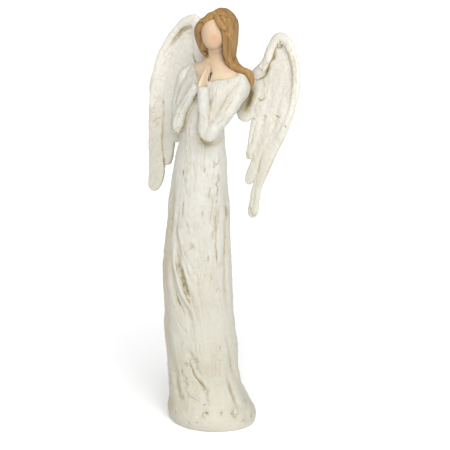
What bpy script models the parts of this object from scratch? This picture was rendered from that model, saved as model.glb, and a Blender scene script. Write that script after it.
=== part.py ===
"""Praying angel figurine: a slim gowned figure with folded hands and two swept wings, cast in one piece.

+X is the figure's left, she faces -Y, +Z is up, and the origin is the middle of the flat underside.
Sizes are in millimetres; MM turns them into metres where the mesh is made. Rows of numbers are stations
of smooth curves.
"""

import math

import bmesh
import bpy
import numpy as np

MM = 0.001
LIMB_STEP = 0.7  # spacing of the rings along a limb
VOXEL = 0.9  # cell of the grid on which the forms are fused
TRIANGLES = 9600
SMOOTHING = 3

# Gown and torso: height, centre x, centre y, half width, half depth of an oval ring.
GOWN = (
    (-3, 0, 0, 39.0, 39.0),
    (0, 0, 0, 40.4, 40.4),
    (3, 0, 0, 41.7, 41.7),
    (8, -0.4, 0, 41.9, 41.9),
    (13, -1.2, -0.2, 41.0, 41.0),
    (19, -2.5, -0.8, 38.6, 38.6),
    (25, -4.0, -1.5, 36.8, 36.6),
    (38, -6.3, -3.0, 35.0, 34.8),
    (56, -7.2, -4.7, 34.2, 33.4),
    (75, -6.9, -6.8, 34.7, 33.2),
    (93, -7.9, -8.7, 34.6, 32.0),
    (112, -7.8, -10.0, 33.6, 30.6),
    (130, -7.9, -11.0, 33.7, 30.7),
    (148, -8.3, -12.2, 33.5, 30.2),
    (166, -8.0, -12.4, 32.5, 29.3),
    (184, -7.5, -12.3, 31.2, 28.0),
    (202, -6.6, -11.7, 29.9, 26.8),
    (219, -6.5, -11.0, 29.4, 25.6),
    (234, -6.3, -10.0, 27.6, 23.6),
    (247, -6.0, -9.0, 26.4, 22.6),
    (261, -5.7, -8.2, 24.3, 20.6),
    (275, -5.0, -7.2, 22.0, 18.3),
    (290, -5.0, -6.8, 21.0, 18.0),
    (305, -2.8, -4.6, 24.0, 18.7),
    (318, 0, -1.2, 28.4, 18.1),
    (327, 0.8, 0.8, 30.2, 16.6),
    (334, 1.4, 2.6, 30.8, 14.6),
    (339, 1.8, 4.0, 29.4, 12.7),
    (343, 1.0, 5.0, 24.6, 11.3),
    (346, 0.4, 5.6, 17.6, 10.2),
)
# The edge of the bodice: turn from the front towards her left, height.
NECKLINE = (
    (-180, 342.0),
    (-90, 342.6),
    (-52, 342.4),
    (-34, 339.6),
    (-20, 334.6),
    (-4, 333.0),
    (14, 334.8),
    (45, 338.0),
    (75, 340.6),
    (110, 342.0),
    (180, 342.0),
)

# Chest, shoulders and neck, in the same columns as the gown.
SKIN = (
    (298, -2, -4, 12, 9),
    (318, 0, -1.0, 26.0, 15.6),
    (327, 0.8, 1.0, 29.4, 15.6),
    (334, 1.4, 2.8, 30.0, 13.6),
    (339, 1.8, 4.0, 28.6, 11.8),
    (343, 1.0, 5.0, 23.8, 10.4),
    (346, 0.4, 5.6, 16.6, 9.4),
    (349, 0.2, 6.0, 12.0, 8.8),
    (352, 0.2, 6.4, 9.4, 8.2),
    (356, 0.5, 6.6, 8.2, 7.8),
    (362, 0.9, 6.4, 8.0, 7.6),
    (370, 1.2, 6.0, 8.2, 7.6),
)

# Folds of the gown: path of turn in degrees from the front towards her left and height; then depth
# and breadth. A negative depth is a ridge.
FOLDS = (
    (((-8, 184), (-3, 170), (5, 155), (12, 146), (24, 126)), 2.4, 2.5),
    (((-6, 150), (1, 139), (16, 120), (25, 98)), 2.0, 2.5),
    (((-14, 196), (-10, 176), (3, 150), (14, 134), (24, 118)), -1.6, 2.6),
    (((2, 190), (7, 168), (16, 148), (28, 134)), -1.0, 3.0),
    (((14, 82), (20, 72), (27, 59), (37, 41)), 2.3, 2.4),
    (((76, 56), (81, 42), (84, 28), (86, 14)), 2.2, 2.4),
    (((80, 96), (90, 72), (100, 48)), 1.6, 2.8),
    (((-16, 64), (-12, 42), (-9, 22)), 2.0, 3.2),
    (((102, 225), (96, 189), (88, 147), (82, 120)), 1.0, 4.0),
    (((112, 176), (114, 110)), 0.9, 3.5),
    (((-10, 218), (-12, 180)), 1.0, 4.0),
    (((-34, 200), (-30, 120), (-40, 60)), 1.4, 4.5),
    (((-62, 215), (-58, 130), (-66, 40)), 1.6, 5.0),
    (((135, 230), (142, 130), (136, 40)), 1.5, 5.0),
    (((165, 250), (160, 150), (166, 50)), 1.4, 5.0),
    (((195, 240), (200, 140), (192, 45)), 1.6, 5.0),
    (((232, 235), (226, 140), (236, 45)), 1.5, 5.0),
    (((264, 220), (270, 120), (262, 45)), 1.4, 5.0),
    (((126, -14), (126, 10), (125, 20), (124, 44)), 5.0, 12.0),
)
# Small dents above the hem: turn, height, depth.
HEM_DENTS = (
    (30, 19, 1.6),
    (54, 17, 1.3),
    (68, 15, 1.3),
    (-14, 15, 1.2),
    (96, 16, 1.4),
    (150, 15, 1.2),
    (230, 16, 1.2),
)
# The train: turn of its middle, half width in degrees, how far it stands out, height over which it fades.
TRAIN = (84.0, 30.0, 4.6, 8.0)
MM_PER_DEGREE = math.radians(33.0)  # along the gown's surface

# Sleeves: x, y, z, half width, half thickness. Her right arm is a little lower and thinner.
UPPER_ARM = (
    (20.0, 9.4, 336.4, 3.5, 3.5),
    (26.0, 8.2, 337.2, 6.6, 6.6),
    (29.6, 5.5, 330.8, 8.2, 8.2),
    (28.8, -2.0, 321.0, 8.2, 8.2),
    (25.8, -11.0, 310.0, 7.6, 7.6),
    (21.8, -19.5, 299.4, 6.6, 6.6),
    (17.8, -25.6, 290.2, 6.2, 6.2),
    (15.0, -28.2, 283.2, 6.2, 6.2),
)
FOREARM = (
    (12.6, -27.6, 281.4, 6.0, 6.0),
    (12.0, -26.8, 288.6, 6.3, 6.3),
    (10.6, -25.0, 299.0, 5.9, 5.9),
    (8.2, -22.6, 313.0, 5.5, 5.5),
    (5.4, -19.4, 332.0, 5.0, 5.0),
)
ARM_ENDS = (1.0, 0.35)  # the cuff is blunter than the elbow
FAR_UPPER_ARM = (
    (-16.0, 6.0, 339.0, 3.5, 3.5),
    (-21.6, 4.0, 338.4, 6.0, 6.0),
    (-26.8, 2.4, 333.0, 8.4, 8.4),
    (-27.8, -2.6, 323.0, 9.2, 9.2),
    (-26.0, -10.0, 311.5, 8.4, 8.4),
    (-23.6, -17.4, 301.5, 7.4, 7.4),
    (-20.4, -24.4, 291.0, 6.4, 6.4),
    (-19.0, -27.2, 286.0, 5.8, 5.8),
)
FAR_FOREARM = (
    (-19.4, -28.0, 284.2, 5.4, 5.4),
    (-19.2, -27.4, 291.0, 5.8, 5.8),
    (-17.4, -25.0, 301.5, 5.2, 5.2),
    (-11.0, -21.8, 316.0, 4.9, 4.7),
    (-5.4, -20.4, 325.0, 4.7, 4.6),
    (-1.6, -18.8, 332.0, 4.4, 4.6),
)
# Cloth of the bodice that fills the bend of each arm, in the same columns.
ARM_FILL = (
    (18.4, -4.0, 334.0, 6.0, 5.0),
    (18.4, -9.4, 322.0, 7.2, 6.0),
    (17.4, -15.2, 310.0, 7.2, 6.2),
    (16.0, -20.2, 299.0, 6.0, 5.8),
    (14.6, -24.0, 290.0, 4.8, 5.2),
)
FAR_ARM_FILL = (
    (-13.0, -4.0, 334.0, 6.0, 6.0),
    (-18.6, -6.6, 326.0, 7.8, 7.2),
    (-20.4, -12.6, 314.0, 7.4, 6.8),
    (-20.4, -18.6, 303.0, 6.0, 6.0),
)
FRONT_LEFT = (0.59, -0.81, 0)
HAND = (
    (3.6, -20.6, 328.0, 5.0, 2.0),
    (3.3, -18.4, 333.6, 5.4, 2.1),
    (3.2, -15.4, 339.2, 4.8, 1.9),
    (3.2, -12.2, 344.4, 3.7, 1.7),
    (3.2, -9.4, 348.4, 2.2, 1.4),
    (3.2, -8.2, 350.0, 1.2, 1.1),
)
HANDS_MEET = 1.4  # x of the plane where the palms touch
FAR_HAND_SHIFT = (1.2, 2.4, -1.2)  # her right hand lies a little behind the left
THUMB = (
    (4.6, -13.6, 331.0, 1.5, 1.6),
    (4.6, -11.6, 338.0, 1.5, 1.6),
    (4.3, -9.4, 344.5, 1.2, 1.3),
    (4.0, -7.8, 348.6, 0.8, 0.9),
)

# Head: an egg with no features, turned a little to her left.
HEAD = (0.9, 3.2, 376.0)
HEAD_HALF = (11.2, 12.2, 16.2)
HEAD_TURN = 22.0
JAW = 0.04  # how much fuller the jaw is than an egg's

# Hair: the mass behind and over the head.
HOOD_CENTRE = (2.2, 14.4, 378.8)
HOOD_HALF = (14.9, 14.6, 18.1)

# Locks: x, y, z, half width, half thickness.
SHOULDER_LOCK = (
    (12.0, 6.6, 391.0, 4.6, 3.0),
    (15.6, 6.4, 380.0, 5.4, 4.0),
    (16.4, 6.4, 368.0, 5.0, 4.2),
    (15.6, 6.4, 358.0, 4.2, 4.0),
    (16.4, 6.2, 350.6, 4.4, 3.8),
    (22.0, 6.6, 346.2, 4.4, 3.6),
    (28.8, 7.4, 344.6, 3.9, 3.4),
    (34.8, 8.8, 343.0, 3.5, 3.0),
    (37.4, 10.2, 336.6, 2.9, 2.7),
    (37.0, 10.8, 330.2, 2.2, 2.2),
)
BANG = (
    (4.6, 2.6, 396.6, 1.4, 1.2),
    (7.4, -1.0, 392.8, 2.6, 1.8),
    (11.2, -2.6, 388.4, 3.2, 2.2),
    (14.8, -2.2, 384.4, 2.6, 2.0),
    (18.0, -0.8, 381.4, 0.9, 1.2),
)
CHEEK_LOCK = (
    (9.4, 2.4, 393.4, 3.6, 2.2),
    (12.6, 1.4, 386.0, 4.4, 2.6),
    (14.8, 2.4, 376.0, 4.0, 2.6),
    (15.2, 3.0, 366.0, 3.8, 2.6),
    (15.8, 3.6, 356.0, 3.4, 2.6),
    (20.4, 5.0, 349.0, 2.6, 2.2),
)
FAR_LOCK = (
    (5.6, 1.6, 395.8, 3.4, 2.4),
    (-2.2, -2.4, 389.6, 3.8, 3.0),
    (-8.8, -2.8, 383.2, 5.0, 3.6),
    (-13.2, -1.6, 376.4, 5.8, 4.0),
    (-12.8, 0.0, 369.0, 5.4, 4.2),
    (-9.8, 0.6, 362.6, 5.0, 4.4),
    (-7.2, 0.8, 358.0, 4.2, 4.0),
    (-4.6, 0.0, 355.8, 3.0, 3.0),
    (-2.4, -0.4, 357.8, 2.4, 2.4),
)
# Hair that joins the parting to the hood, and covers the temple on her right.
PARTING = (
    (5.6, 1.0, 392.6, 4.6, 3.8),
    (5.4, 5.0, 392.8, 7.0, 4.4),
    (4.4, 10.0, 391.8, 7.0, 4.4),
    (3.4, 14.0, 389.6, 5.0, 3.4),
)
TEMPLE_LOCK = (
    (1.0, 3.6, 391.8, 4.0, 3.2),
    (-5.0, 3.6, 388.8, 5.2, 3.8),
    (-9.0, 5.6, 383.6, 6.2, 3.4),
    (-10.8, 6.0, 374.0, 6.8, 3.6),
    (-10.4, 7.0, 364.0, 6.2, 3.4),
    (-8.6, 8.4, 355.0, 4.6, 3.0),
    (-7.6, 9.6, 348.0, 2.4, 2.2),
)
BACK_LOCKS = (
    (
        (6.4, 16.0, 392.0, 3.4, 2.4),
        (8.2, 21.4, 386.4, 5.8, 3.8),
        (9.0, 21.8, 370.0, 6.6, 4.5),
        (8.2, 19.0, 352.0, 5.6, 5.0),
        (13.0, 19.5, 338.0, 4.6, 4.0),
        (17.5, 20.0, 328.0, 2.4, 2.4),
    ),
    (
        (1.6, 19.0, 392.6, 4.0, 2.4),
        (1.0, 24.8, 386.0, 6.8, 3.6),
        (0.0, 26.5, 372.0, 8.0, 4.5),
        (1.0, 22.0, 352.0, 7.5, 5.0),
        (3.0, 20.0, 335.0, 5.6, 4.0),
        (7.0, 18.5, 320.0, 2.2, 2.2),
    ),
    (
        (-5.4, 14.6, 390.6, 3.4, 2.4),
        (-8.2, 19.4, 384.0, 6.0, 3.6),
        (-9.5, 20.5, 372.0, 7.0, 4.5),
        (-6.5, 19.0, 354.0, 6.0, 5.0),
        (-5.0, 18.0, 340.0, 4.4, 4.0),
        (-5.0, 17.5, 328.0, 2.2, 2.2),
    ),
    (
        (11.0, 14.0, 386.0, 5.0, 4.0),
        (12.4, 14.0, 370.0, 5.2, 4.5),
        (12.2, 13.0, 356.0, 4.6, 4.6),
        (17.6, 12.5, 347.0, 4.4, 4.0),
        (27.0, 13.0, 342.0, 2.8, 2.6),
    ),
)

# Wings lie on a leaning plane: y = WING_Y + WING_LEAN * (z - WING_Z), bent back above WING_BEND_Z and
# cupped forward at the outer edge.
WING_Y = 25.6
WING_Z = 342.0
WING_LEAN = 0.33
WING_BEND_Z = 310.0
WING_BEND = 0.08
WING_CUP = 3.0
# Long blades: x, z, half width, half thickness, set forward of the plane. Her left wing is the slimmer.
FEATHERS = (
    (
        (73.2, 322.0, 9.4, 2.0, -0.6),
        (72.0, 305.0, 8.5, 2.2, -0.6),
        (65.2, 280.0, 7.1, 2.2, -0.4),
        (60.2, 262.0, 6.2, 2.2, -0.2),
        (57.0, 245.0, 5.1, 2.2, 0.0),
        (56.7, 232.0, 5.2, 2.1, 0.0),
        (57.4, 222.0, 5.2, 2.0, 0.0),
        (57.8, 216.6, 4.2, 1.8, 0.0),
    ),
    (
        (60.0, 322.0, 8.6, 2.0, 0.4),
        (57.4, 303.0, 8.6, 2.3, 0.6),
        (52.0, 280.0, 7.0, 2.2, 0.8),
        (50.2, 262.0, 4.8, 2.1, 1.0),
        (47.6, 250.0, 4.9, 2.0, 1.0),
        (47.0, 244.2, 3.2, 1.7, 1.0),
    ),
    (
        (47.5, 322.0, 7.2, 2.0, 1.2),
        (45.2, 303.0, 7.6, 2.3, 1.4),
        (44.4, 285.0, 5.8, 2.2, 1.6),
        (43.2, 272.0, 4.1, 2.0, 1.8),
        (42.8, 265.4, 3.2, 1.7, 1.8),
    ),
)
FAR_FEATHERS = (
    (
        (71.2, 322.0, 8.9, 2.0, -0.6),
        (70.4, 305.0, 9.0, 2.2, -0.6),
        (67.0, 280.0, 8.9, 2.2, -0.4),
        (62.8, 262.0, 9.0, 2.2, -0.2),
        (57.7, 245.0, 9.4, 2.2, 0.0),
        (55.9, 232.0, 8.9, 2.1, 0.0),
        (56.8, 222.0, 6.2, 2.0, 0.0),
        (57.2, 219.0, 4.6, 1.8, 0.0),
    ),
    (
        (60.0, 322.0, 8.6, 2.0, 0.4),
        (57.4, 303.0, 8.6, 2.3, 0.6),
        (52.6, 280.0, 8.4, 2.2, 0.8),
        (48.5, 262.0, 7.5, 2.1, 1.0),
        (46.2, 250.0, 6.0, 2.0, 1.0),
        (45.2, 244.2, 4.2, 1.7, 1.0),
    ),
    (
        (47.5, 322.0, 7.2, 2.0, 1.2),
        (45.0, 303.0, 7.8, 2.3, 1.4),
        (42.0, 285.0, 8.2, 2.2, 1.6),
        (40.2, 272.0, 7.6, 2.0, 1.8),
        (39.4, 265.6, 5.6, 1.7, 1.8),
    ),
)
# The blade next to the body, and the coverts that overlap the blades' upper ends.
INNER_FEATHER = (
    (35.0, 334.0, 9.0, 2.4, 1.0),
    (33.0, 318.0, 10.6, 2.8, 1.4),
    (30.6, 306.0, 10.0, 2.8, 1.8),
    (29.4, 296.0, 7.4, 2.4, 2.0),
)
COVERTS = (
    (
        (68.5, 346.0, 6.0, 1.6, 0.0),
        (72.5, 325.0, 8.4, 2.0, 0.4),
        (72.6, 309.0, 8.4, 1.9, 0.7),
        (71.6, 301.0, 6.6, 1.6, 0.8),
    ),
    (
        (58.0, 346.0, 6.0, 1.6, 0.2),
        (59.4, 326.0, 8.6, 2.2, 0.8),
        (58.0, 308.0, 8.2, 2.0, 1.3),
        (57.4, 300.0, 6.2, 1.7, 1.5),
    ),
    (
        (50.0, 346.0, 5.0, 1.6, 0.4),
        (47.6, 328.0, 8.0, 2.2, 1.1),
        (45.6, 308.0, 7.0, 2.0, 1.9),
        (45.4, 301.0, 4.8, 1.6, 2.2),
    ),
    (
        (41.0, 336.0, 5.0, 1.8, 1.0),
        (38.0, 322.0, 6.6, 2.2, 1.8),
        (36.0, 312.0, 5.4, 2.0, 2.3),
    ),
)
FIELD = (
    (50.5, 370.0, 8.0, 1.8, -0.4),
    (54.5, 355.0, 15.5, 1.9, 0.2),
    (56.3, 340.0, 21.6, 2.0, 0.7),
    (56.5, 322.0, 23.0, 2.0, 0.8),
    (56.0, 306.0, 21.5, 2.0, 0.6),
    (56.0, 296.0, 16.0, 1.8, -0.2),
)
RIM = (
    (25.0, 330.0, 5.0, 5.0, 0.6),
    (33.0, 338.0, 5.4, 4.8, 1.2),
    (41.4, 348.4, 5.6, 4.6, 1.8),
    (43.8, 361.0, 5.4, 4.4, 2.0),
    (48.8, 370.6, 5.6, 4.2, 2.0),
    (57.6, 368.8, 4.8, 3.8, 1.8),
    (65.6, 360.4, 4.3, 3.4, 1.6),
    (73.2, 349.6, 4.2, 3.1, 1.4),
    (77.4, 337.2, 4.0, 2.8, 1.2),
    (79.3, 322.0, 3.6, 2.4, 1.0),
    (77.2, 306.0, 3.0, 2.0, 0.8),
    (70.2, 288.0, 2.4, 1.8, 0.5),
)
FAR_RIM = (
    (22.0, 331.0, 5.0, 5.0, 0.6),
    (29.0, 339.0, 5.4, 4.8, 1.2),
    (35.6, 349.4, 5.6, 4.6, 1.8),
    (40.0, 362.2, 5.4, 4.4, 2.0),
    (47.2, 372.4, 5.6, 4.2, 2.0),
    (57.2, 369.6, 4.8, 3.8, 1.8),
    (64.4, 361.2, 4.3, 3.4, 1.6),
    (70.8, 349.8, 4.2, 3.1, 1.4),
    (75.4, 337.2, 4.0, 2.8, 1.2),
    (77.0, 322.0, 3.6, 2.4, 1.0),
    (76.0, 306.0, 3.0, 2.0, 0.8),
    (73.2, 288.0, 2.4, 1.8, 0.5),
)
# The root, across her back: x, y, z, half width, half thickness.
WING_ROOT = (
    (4.0, 13.0, 321.0, 12.0, 5.5),
    (16.0, 16.8, 323.0, 14.0, 5.0),
    (28.0, 20.0, 325.0, 13.5, 4.0),
    (38.0, 22.4, 329.0, 11.0, 2.6),
    (47.0, 24.0, 333.0, 7.0, 1.6),
)


def unit(vectors):
    """The vectors at length one."""
    vectors = np.asarray(vectors, float)
    return vectors / np.linalg.norm(vectors, axis=-1, keepdims=True)


def curve(rows, at):
    """Smooth values at the wanted stations. The rows' first column is the station."""
    rows = np.array(rows, float)
    station, value = rows[:, 0], rows[:, 1:]
    slope = np.gradient(value, station, axis=0)
    low = np.clip(np.searchsorted(station, at) - 1, 0, len(station) - 2)
    span = (station[low + 1] - station[low])[:, None]
    t = np.clip((at[:, None] - station[low][:, None]) / span, 0, 1)
    rise = t * t * (3 - 2 * t)
    return (
        value[low] * (1 - rise)
        + value[low + 1] * rise
        + slope[low] * span * t * (1 - t) ** 2
        - slope[low + 1] * span * t * t * (1 - t)
    )


def step(low, high, value):
    """0 below low, 1 above high, smooth between."""
    t = np.clip((value - low) / (high - low), 0, 1)
    return t * t * (3 - 2 * t)


def loft(rings):
    """A closed skin over rings of points, with a fan over each end: points and triangles, facing out."""
    rings = np.asarray(rings, float)
    count, sides, _ = rings.shape
    points = np.vstack([rings.reshape(-1, 3), rings[0].mean(axis=0), rings[-1].mean(axis=0)])
    here = np.arange(count * sides).reshape(count, sides)
    after = np.roll(here, -1, axis=1)
    a, b, c, d = here[:-1], after[:-1], after[1:], here[1:]
    first, last = count * sides, count * sides + 1
    triangles = np.vstack([
        np.stack([a, b, c], axis=-1).reshape(-1, 3),
        np.stack([a, c, d], axis=-1).reshape(-1, 3),
        np.stack([after[0], here[0], np.full(sides, first)], axis=-1),
        np.stack([here[-1], after[-1], np.full(sides, last)], axis=-1),
    ])
    corner = points[triangles]
    volume = np.einsum("ij,ij->i", corner[:, 0], np.cross(corner[:, 1], corner[:, 2])).sum()
    return points, triangles if volume > 0 else triangles[:, ::-1]


def limb(rows, facing, sides=20, square=2.0, ends=(1.0, 1.0)):
    """A flattened tube with rounded ends. Rows: x, y, z, half width, half thickness.

    The thickness lies along facing. A higher square gives a boxier section, and ends sets how long each
    rounded end is against its width.
    """
    rows = np.array(rows, float)
    gaps = np.linalg.norm(np.diff(rows[:, :3], axis=0), axis=1)
    reach = np.concatenate([[0], np.cumsum(gaps)])
    at = np.linspace(0, reach[-1], int(reach[-1] / LIMB_STEP) + 6)
    path = curve(np.column_stack([reach, rows]), at)
    centre, wide, thick = path[:, :3], path[:, 3], path[:, 4]
    ahead = unit(np.gradient(centre, axis=0))
    facing = np.broadcast_to(facing, centre.shape)
    out = unit(facing - ahead * np.einsum("ij,ij->i", facing, ahead)[:, None])
    side = np.cross(ahead, out)
    left_over = np.minimum(at - at[0] + 0.02, at[-1] - at + 0.02)
    cap = np.where(at < at[-1] / 2, wide[0] * ends[0], wide[-1] * ends[1])
    closing = np.sqrt(1 - np.clip(1 - left_over / cap, 0, 1) ** 2)
    turn = np.linspace(0, 2 * math.pi, sides, endpoint=False)
    across, through = np.cos(turn), np.sin(turn)
    across = np.sign(across) * np.abs(across) ** (2 / square)
    through = np.sign(through) * np.abs(through) ** (2 / square)
    thinning = np.minimum(1, closing * wide / thick)
    rings = (
        centre[:, None]
        + side[:, None] * (wide * closing)[:, None, None] * across[None, :, None]
        + out[:, None] * (thick * thinning)[:, None, None] * through[None, :, None]
    )
    return loft(rings)


def mirrored(piece):
    """The piece on her other side."""
    points, triangles = piece
    return points * (-1, 1, 1), triangles[:, ::-1]


def fold_depth(turn, height):
    """How far the folds move the gown's surface out, for arrays of turn in degrees and height.

    A fold fades at its ends.
    """
    out = np.zeros(np.broadcast(turn, height).shape)
    for path, depth, breadth in FOLDS:
        path = np.array(path, float)
        away = np.full(out.shape, 1e9)
        along = np.zeros(out.shape)
        for index, (start, end) in enumerate(zip(path[:-1], path[1:])):
            run = (end - start) * (MM_PER_DEGREE, 1)
            dx = (((turn - start[0]) + 180) % 360 - 180) * MM_PER_DEGREE
            dz = height - start[1]
            share = np.clip((dx * run[0] + dz * run[1]) / (run @ run), 0, 1)
            gap = np.hypot(dx - share * run[0], dz - share * run[1])
            along = np.where(gap < away, (index + share) / (len(path) - 1), along)
            away = np.minimum(away, gap)
        fade = 0.2 + 0.8 * step(0, 0.3, along) * step(0, 0.3, 1 - along)
        out -= depth * fade * np.exp(-((away / breadth) ** 2))
    for where, at_height, depth in HEM_DENTS:
        dx = (((turn - where) + 180) % 360 - 180) * MM_PER_DEGREE
        out -= depth * np.exp(-((dx / 4.0) ** 2) - ((height - at_height) / 3.0) ** 2)
    return out


def oval_rings(rows, heights, turn):
    """Points on an oval column, for arrays of heights and of turns from the front towards her left."""
    values = curve(rows, heights.ravel()).reshape(heights.shape + (4,))
    angle = np.radians(turn)
    x = values[..., 0] + values[..., 2] * np.sin(angle)
    y = values[..., 1] - values[..., 3] * np.cos(angle)
    return np.stack([x, y, heights], axis=-1)


def gown(spacing=1.5, sides=160):
    """The gown from the hem to the neckline, with its folds."""
    low = GOWN[0][0]
    turn = np.linspace(-180, 180, sides, endpoint=False)
    edge = curve(NECKLINE, turn)[:, 0]
    share = np.linspace(0, 1, int((edge.max() - low) / spacing))[:, None]
    heights = low + share * (edge - low)
    rings = oval_rings(GOWN, heights, turn)
    centre = curve(GOWN, heights.ravel()).reshape(heights.shape + (4,))[..., :2]
    outward = unit(rings[..., :2] - centre)
    middle, half, out, top = TRAIN
    train = out * np.exp(-(((turn - middle) / half) ** 2)) * step(top, 0, heights)
    rings[..., :2] += outward * (fold_depth(turn, heights) * step(3, 12, heights) + train)[..., None]
    return loft(rings)


def arm_fills():
    """The raised cloth between her forearms and upper arms."""
    return [limb(ARM_FILL, FRONT_LEFT), limb(FAR_ARM_FILL, FRONT_LEFT)]


def bust():
    """Chest, shoulders and neck, under the bodice."""
    turn = np.linspace(-180, 180, 96, endpoint=False)
    heights = np.linspace(SKIN[0][0], SKIN[-1][0], 70)[:, None] + 0 * turn
    return loft(oval_rings(SKIN, heights, turn))


def sphere_rings(count=48, sides=72):
    """Unit directions of a ball, ring by ring from below."""
    rise = np.linspace(-0.5 * math.pi + 0.01, 0.5 * math.pi - 0.01, count)
    turn = np.linspace(0, 2 * math.pi, sides, endpoint=False)
    across = np.cos(rise)[:, None]
    up = np.sin(rise)[:, None] + 0 * turn
    return np.stack([across * np.sin(turn), -across * np.cos(turn), up], axis=-1)


def turned(points, degrees):
    """The points turned about +Z, towards her left."""
    a = math.radians(degrees)
    x, y, z = points[..., 0], points[..., 1], points[..., 2]
    return np.stack([x * math.cos(a) - y * math.sin(a), x * math.sin(a) + y * math.cos(a), z], axis=-1)


def head():
    """The smooth egg of the head."""
    ball = sphere_rings()
    fuller = 1 + JAW * step(0.1, 0.8, -ball[..., 2:]) * (1, 1, 0)
    return loft(turned(ball * HEAD_HALF * fuller, HEAD_TURN) + HEAD)


def hood():
    """The mass of hair over the crown and back of the head."""
    return loft(sphere_rings(60, 96) * HOOD_HALF + HOOD_CENTRE)


def outward_of(rows):
    """Directions from the head's axis to the stations of a lock, spread along it."""
    rows = np.array(rows, float)[:, :3]
    away = unit((rows - HOOD_CENTRE) * (1, 1, 0.6))
    gaps = np.linalg.norm(np.diff(rows, axis=0), axis=1)
    reach = np.concatenate([[0], np.cumsum(gaps)])
    at = np.linspace(0, reach[-1], int(reach[-1] / LIMB_STEP) + 6)
    return curve(np.column_stack([reach, away]), at)


def hair():
    """The hood and the locks that leave it."""
    locks = [SHOULDER_LOCK, BANG, CHEEK_LOCK, FAR_LOCK, PARTING, TEMPLE_LOCK, *BACK_LOCKS]
    return [hood()] + [limb(rows, outward_of(rows)) for rows in locks]


def hand():
    """Her left hand, flat against the other, with its thumb towards the chest."""
    return [limb(HAND, (1, 0, 0), sides=20, square=2.3), limb(THUMB, (1, 0, 0), sides=12)]


def far_hand():
    """Her right hand: the left one mirrored in the plane where the palms touch, and set back."""
    shift = np.array(FAR_HAND_SHIFT) + (2 * HANDS_MEET, 0, 0)
    return [(points + shift, triangles) for points, triangles in map(mirrored, hand())]


def arm():
    """Her left sleeve."""
    return [
        limb(UPPER_ARM, (0, -1, 0), sides=28),
        limb(FOREARM, (0, -1, 0), sides=28, ends=ARM_ENDS),
    ]


def far_arm():
    """Her right sleeve."""
    return [
        limb(FAR_UPPER_ARM, (0, -1, 0), sides=28),
        limb(FAR_FOREARM, (0, -1, 0), sides=28, ends=ARM_ENDS),
    ]


def on_wing(rows):
    """Rows of x, z, half width, half thickness, forward offset, set on the wing's plane."""
    placed = []
    for x, z, wide, thick, forward in rows:
        cup = WING_CUP * max(0.0, (x - 45.0) / 37.0) ** 2
        bend = WING_BEND * max(0.0, z - WING_BEND_Z)
        y = WING_Y + WING_LEAN * (z - WING_Z) + bend - cup - forward
        placed.append((x, y, z, wide, thick))
    return placed


def wing(rim, feathers):
    """A wing on her left side: field, long feathers, coverts, the thick leading edge and the root."""
    forward = (0, -1, WING_LEAN)
    parts = [limb(on_wing(FIELD), forward, sides=40, square=3.0)]
    blades = (*feathers, INNER_FEATHER, *COVERTS)
    parts += [limb(on_wing(rows), forward, sides=28, square=2.6) for rows in blades]
    parts.append(limb(on_wing(rim), forward, sides=24))
    parts.append(limb(WING_ROOT, (0, -1, 0.2), sides=24))
    return parts


def figure_pieces():
    """Every form of the figure as closed shells, before they are made one."""
    wings = wing(RIM, FEATHERS) + [mirrored(piece) for piece in wing(FAR_RIM, FAR_FEATHERS)]
    return [gown(), bust(), head()] + arm_fills() + hair() + arm() + far_arm() + hand() + far_hand() + wings


def joined_mesh(name, pieces):
    """One mesh, in metres, that holds all the shells."""
    points, triangles, start = [], [], 0
    for some_points, some_triangles in pieces:
        points.append(some_points * MM)
        triangles.append(some_triangles + start)
        start += len(some_points)
    mesh = bpy.data.meshes.new(name)
    mesh.from_pydata(np.vstack(points).tolist(), [], np.vstack(triangles).tolist())
    return mesh


def evaluated(obj):
    """A new mesh with the object's modifiers applied."""
    bpy.context.view_layer.update()
    graph = bpy.context.evaluated_depsgraph_get()
    return bpy.data.meshes.new_from_object(obj.evaluated_get(graph))


def fused(obj):
    """Makes the shells one skin, then thins it to the triangle budget."""
    remesh = obj.modifiers.new("One skin", "REMESH")
    remesh.mode = "VOXEL"
    remesh.voxel_size = VOXEL * MM
    smooth = obj.modifiers.new("Worn", "SMOOTH")
    smooth.factor = 0.4
    smooth.iterations = SMOOTHING
    obj.data = evaluated(obj)
    obj.modifiers.clear()
    thin = obj.modifiers.new("Facets", "DECIMATE")
    thin.ratio = TRIANGLES / (2 * len(obj.data.polygons))
    thin.use_collapse_triangulate = True
    obj.data = evaluated(obj)
    obj.modifiers.clear()


def cut_flat(obj):
    """Cuts the underside flat at z = 0 and closes it."""
    cut = bmesh.new()
    cut.from_mesh(obj.data)
    geometry = cut.verts[:] + cut.edges[:] + cut.faces[:]
    bmesh.ops.bisect_plane(
        cut, geom=geometry, plane_co=(0, 0, 0), plane_no=(0, 0, 1), clear_inner=True, dist=1e-6
    )
    rim = [edge for edge in cut.edges if edge.is_boundary]
    bmesh.ops.contextual_create(cut, geom=rim)
    bmesh.ops.dissolve_degenerate(cut, dist=2e-5, edges=cut.edges[:])
    bmesh.ops.triangulate(cut, faces=cut.faces[:])
    bmesh.ops.recalc_face_normals(cut, faces=cut.faces[:])
    cut.to_mesh(obj.data)
    cut.free()


def painted_resin():
    """Cream painted cast resin."""
    material = bpy.data.materials.new("painted_resin")
    material.use_nodes = True
    shader = material.node_tree.nodes["Principled BSDF"]
    shader.inputs["Base Color"].default_value = (0.80, 0.75, 0.66, 1)
    shader.inputs["Roughness"].default_value = 0.6
    shader.inputs["Metallic"].default_value = 0.0
    return material


def main():
    for obj in list(bpy.data.objects):
        bpy.data.objects.remove(obj)
    figure = bpy.data.objects.new("angel_figurine", joined_mesh("angel_figurine", figure_pieces()))
    bpy.context.scene.collection.objects.link(figure)
    fused(figure)
    cut_flat(figure)
    figure.data.shade_smooth()
    figure.data.materials.append(painted_resin())


main()
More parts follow.
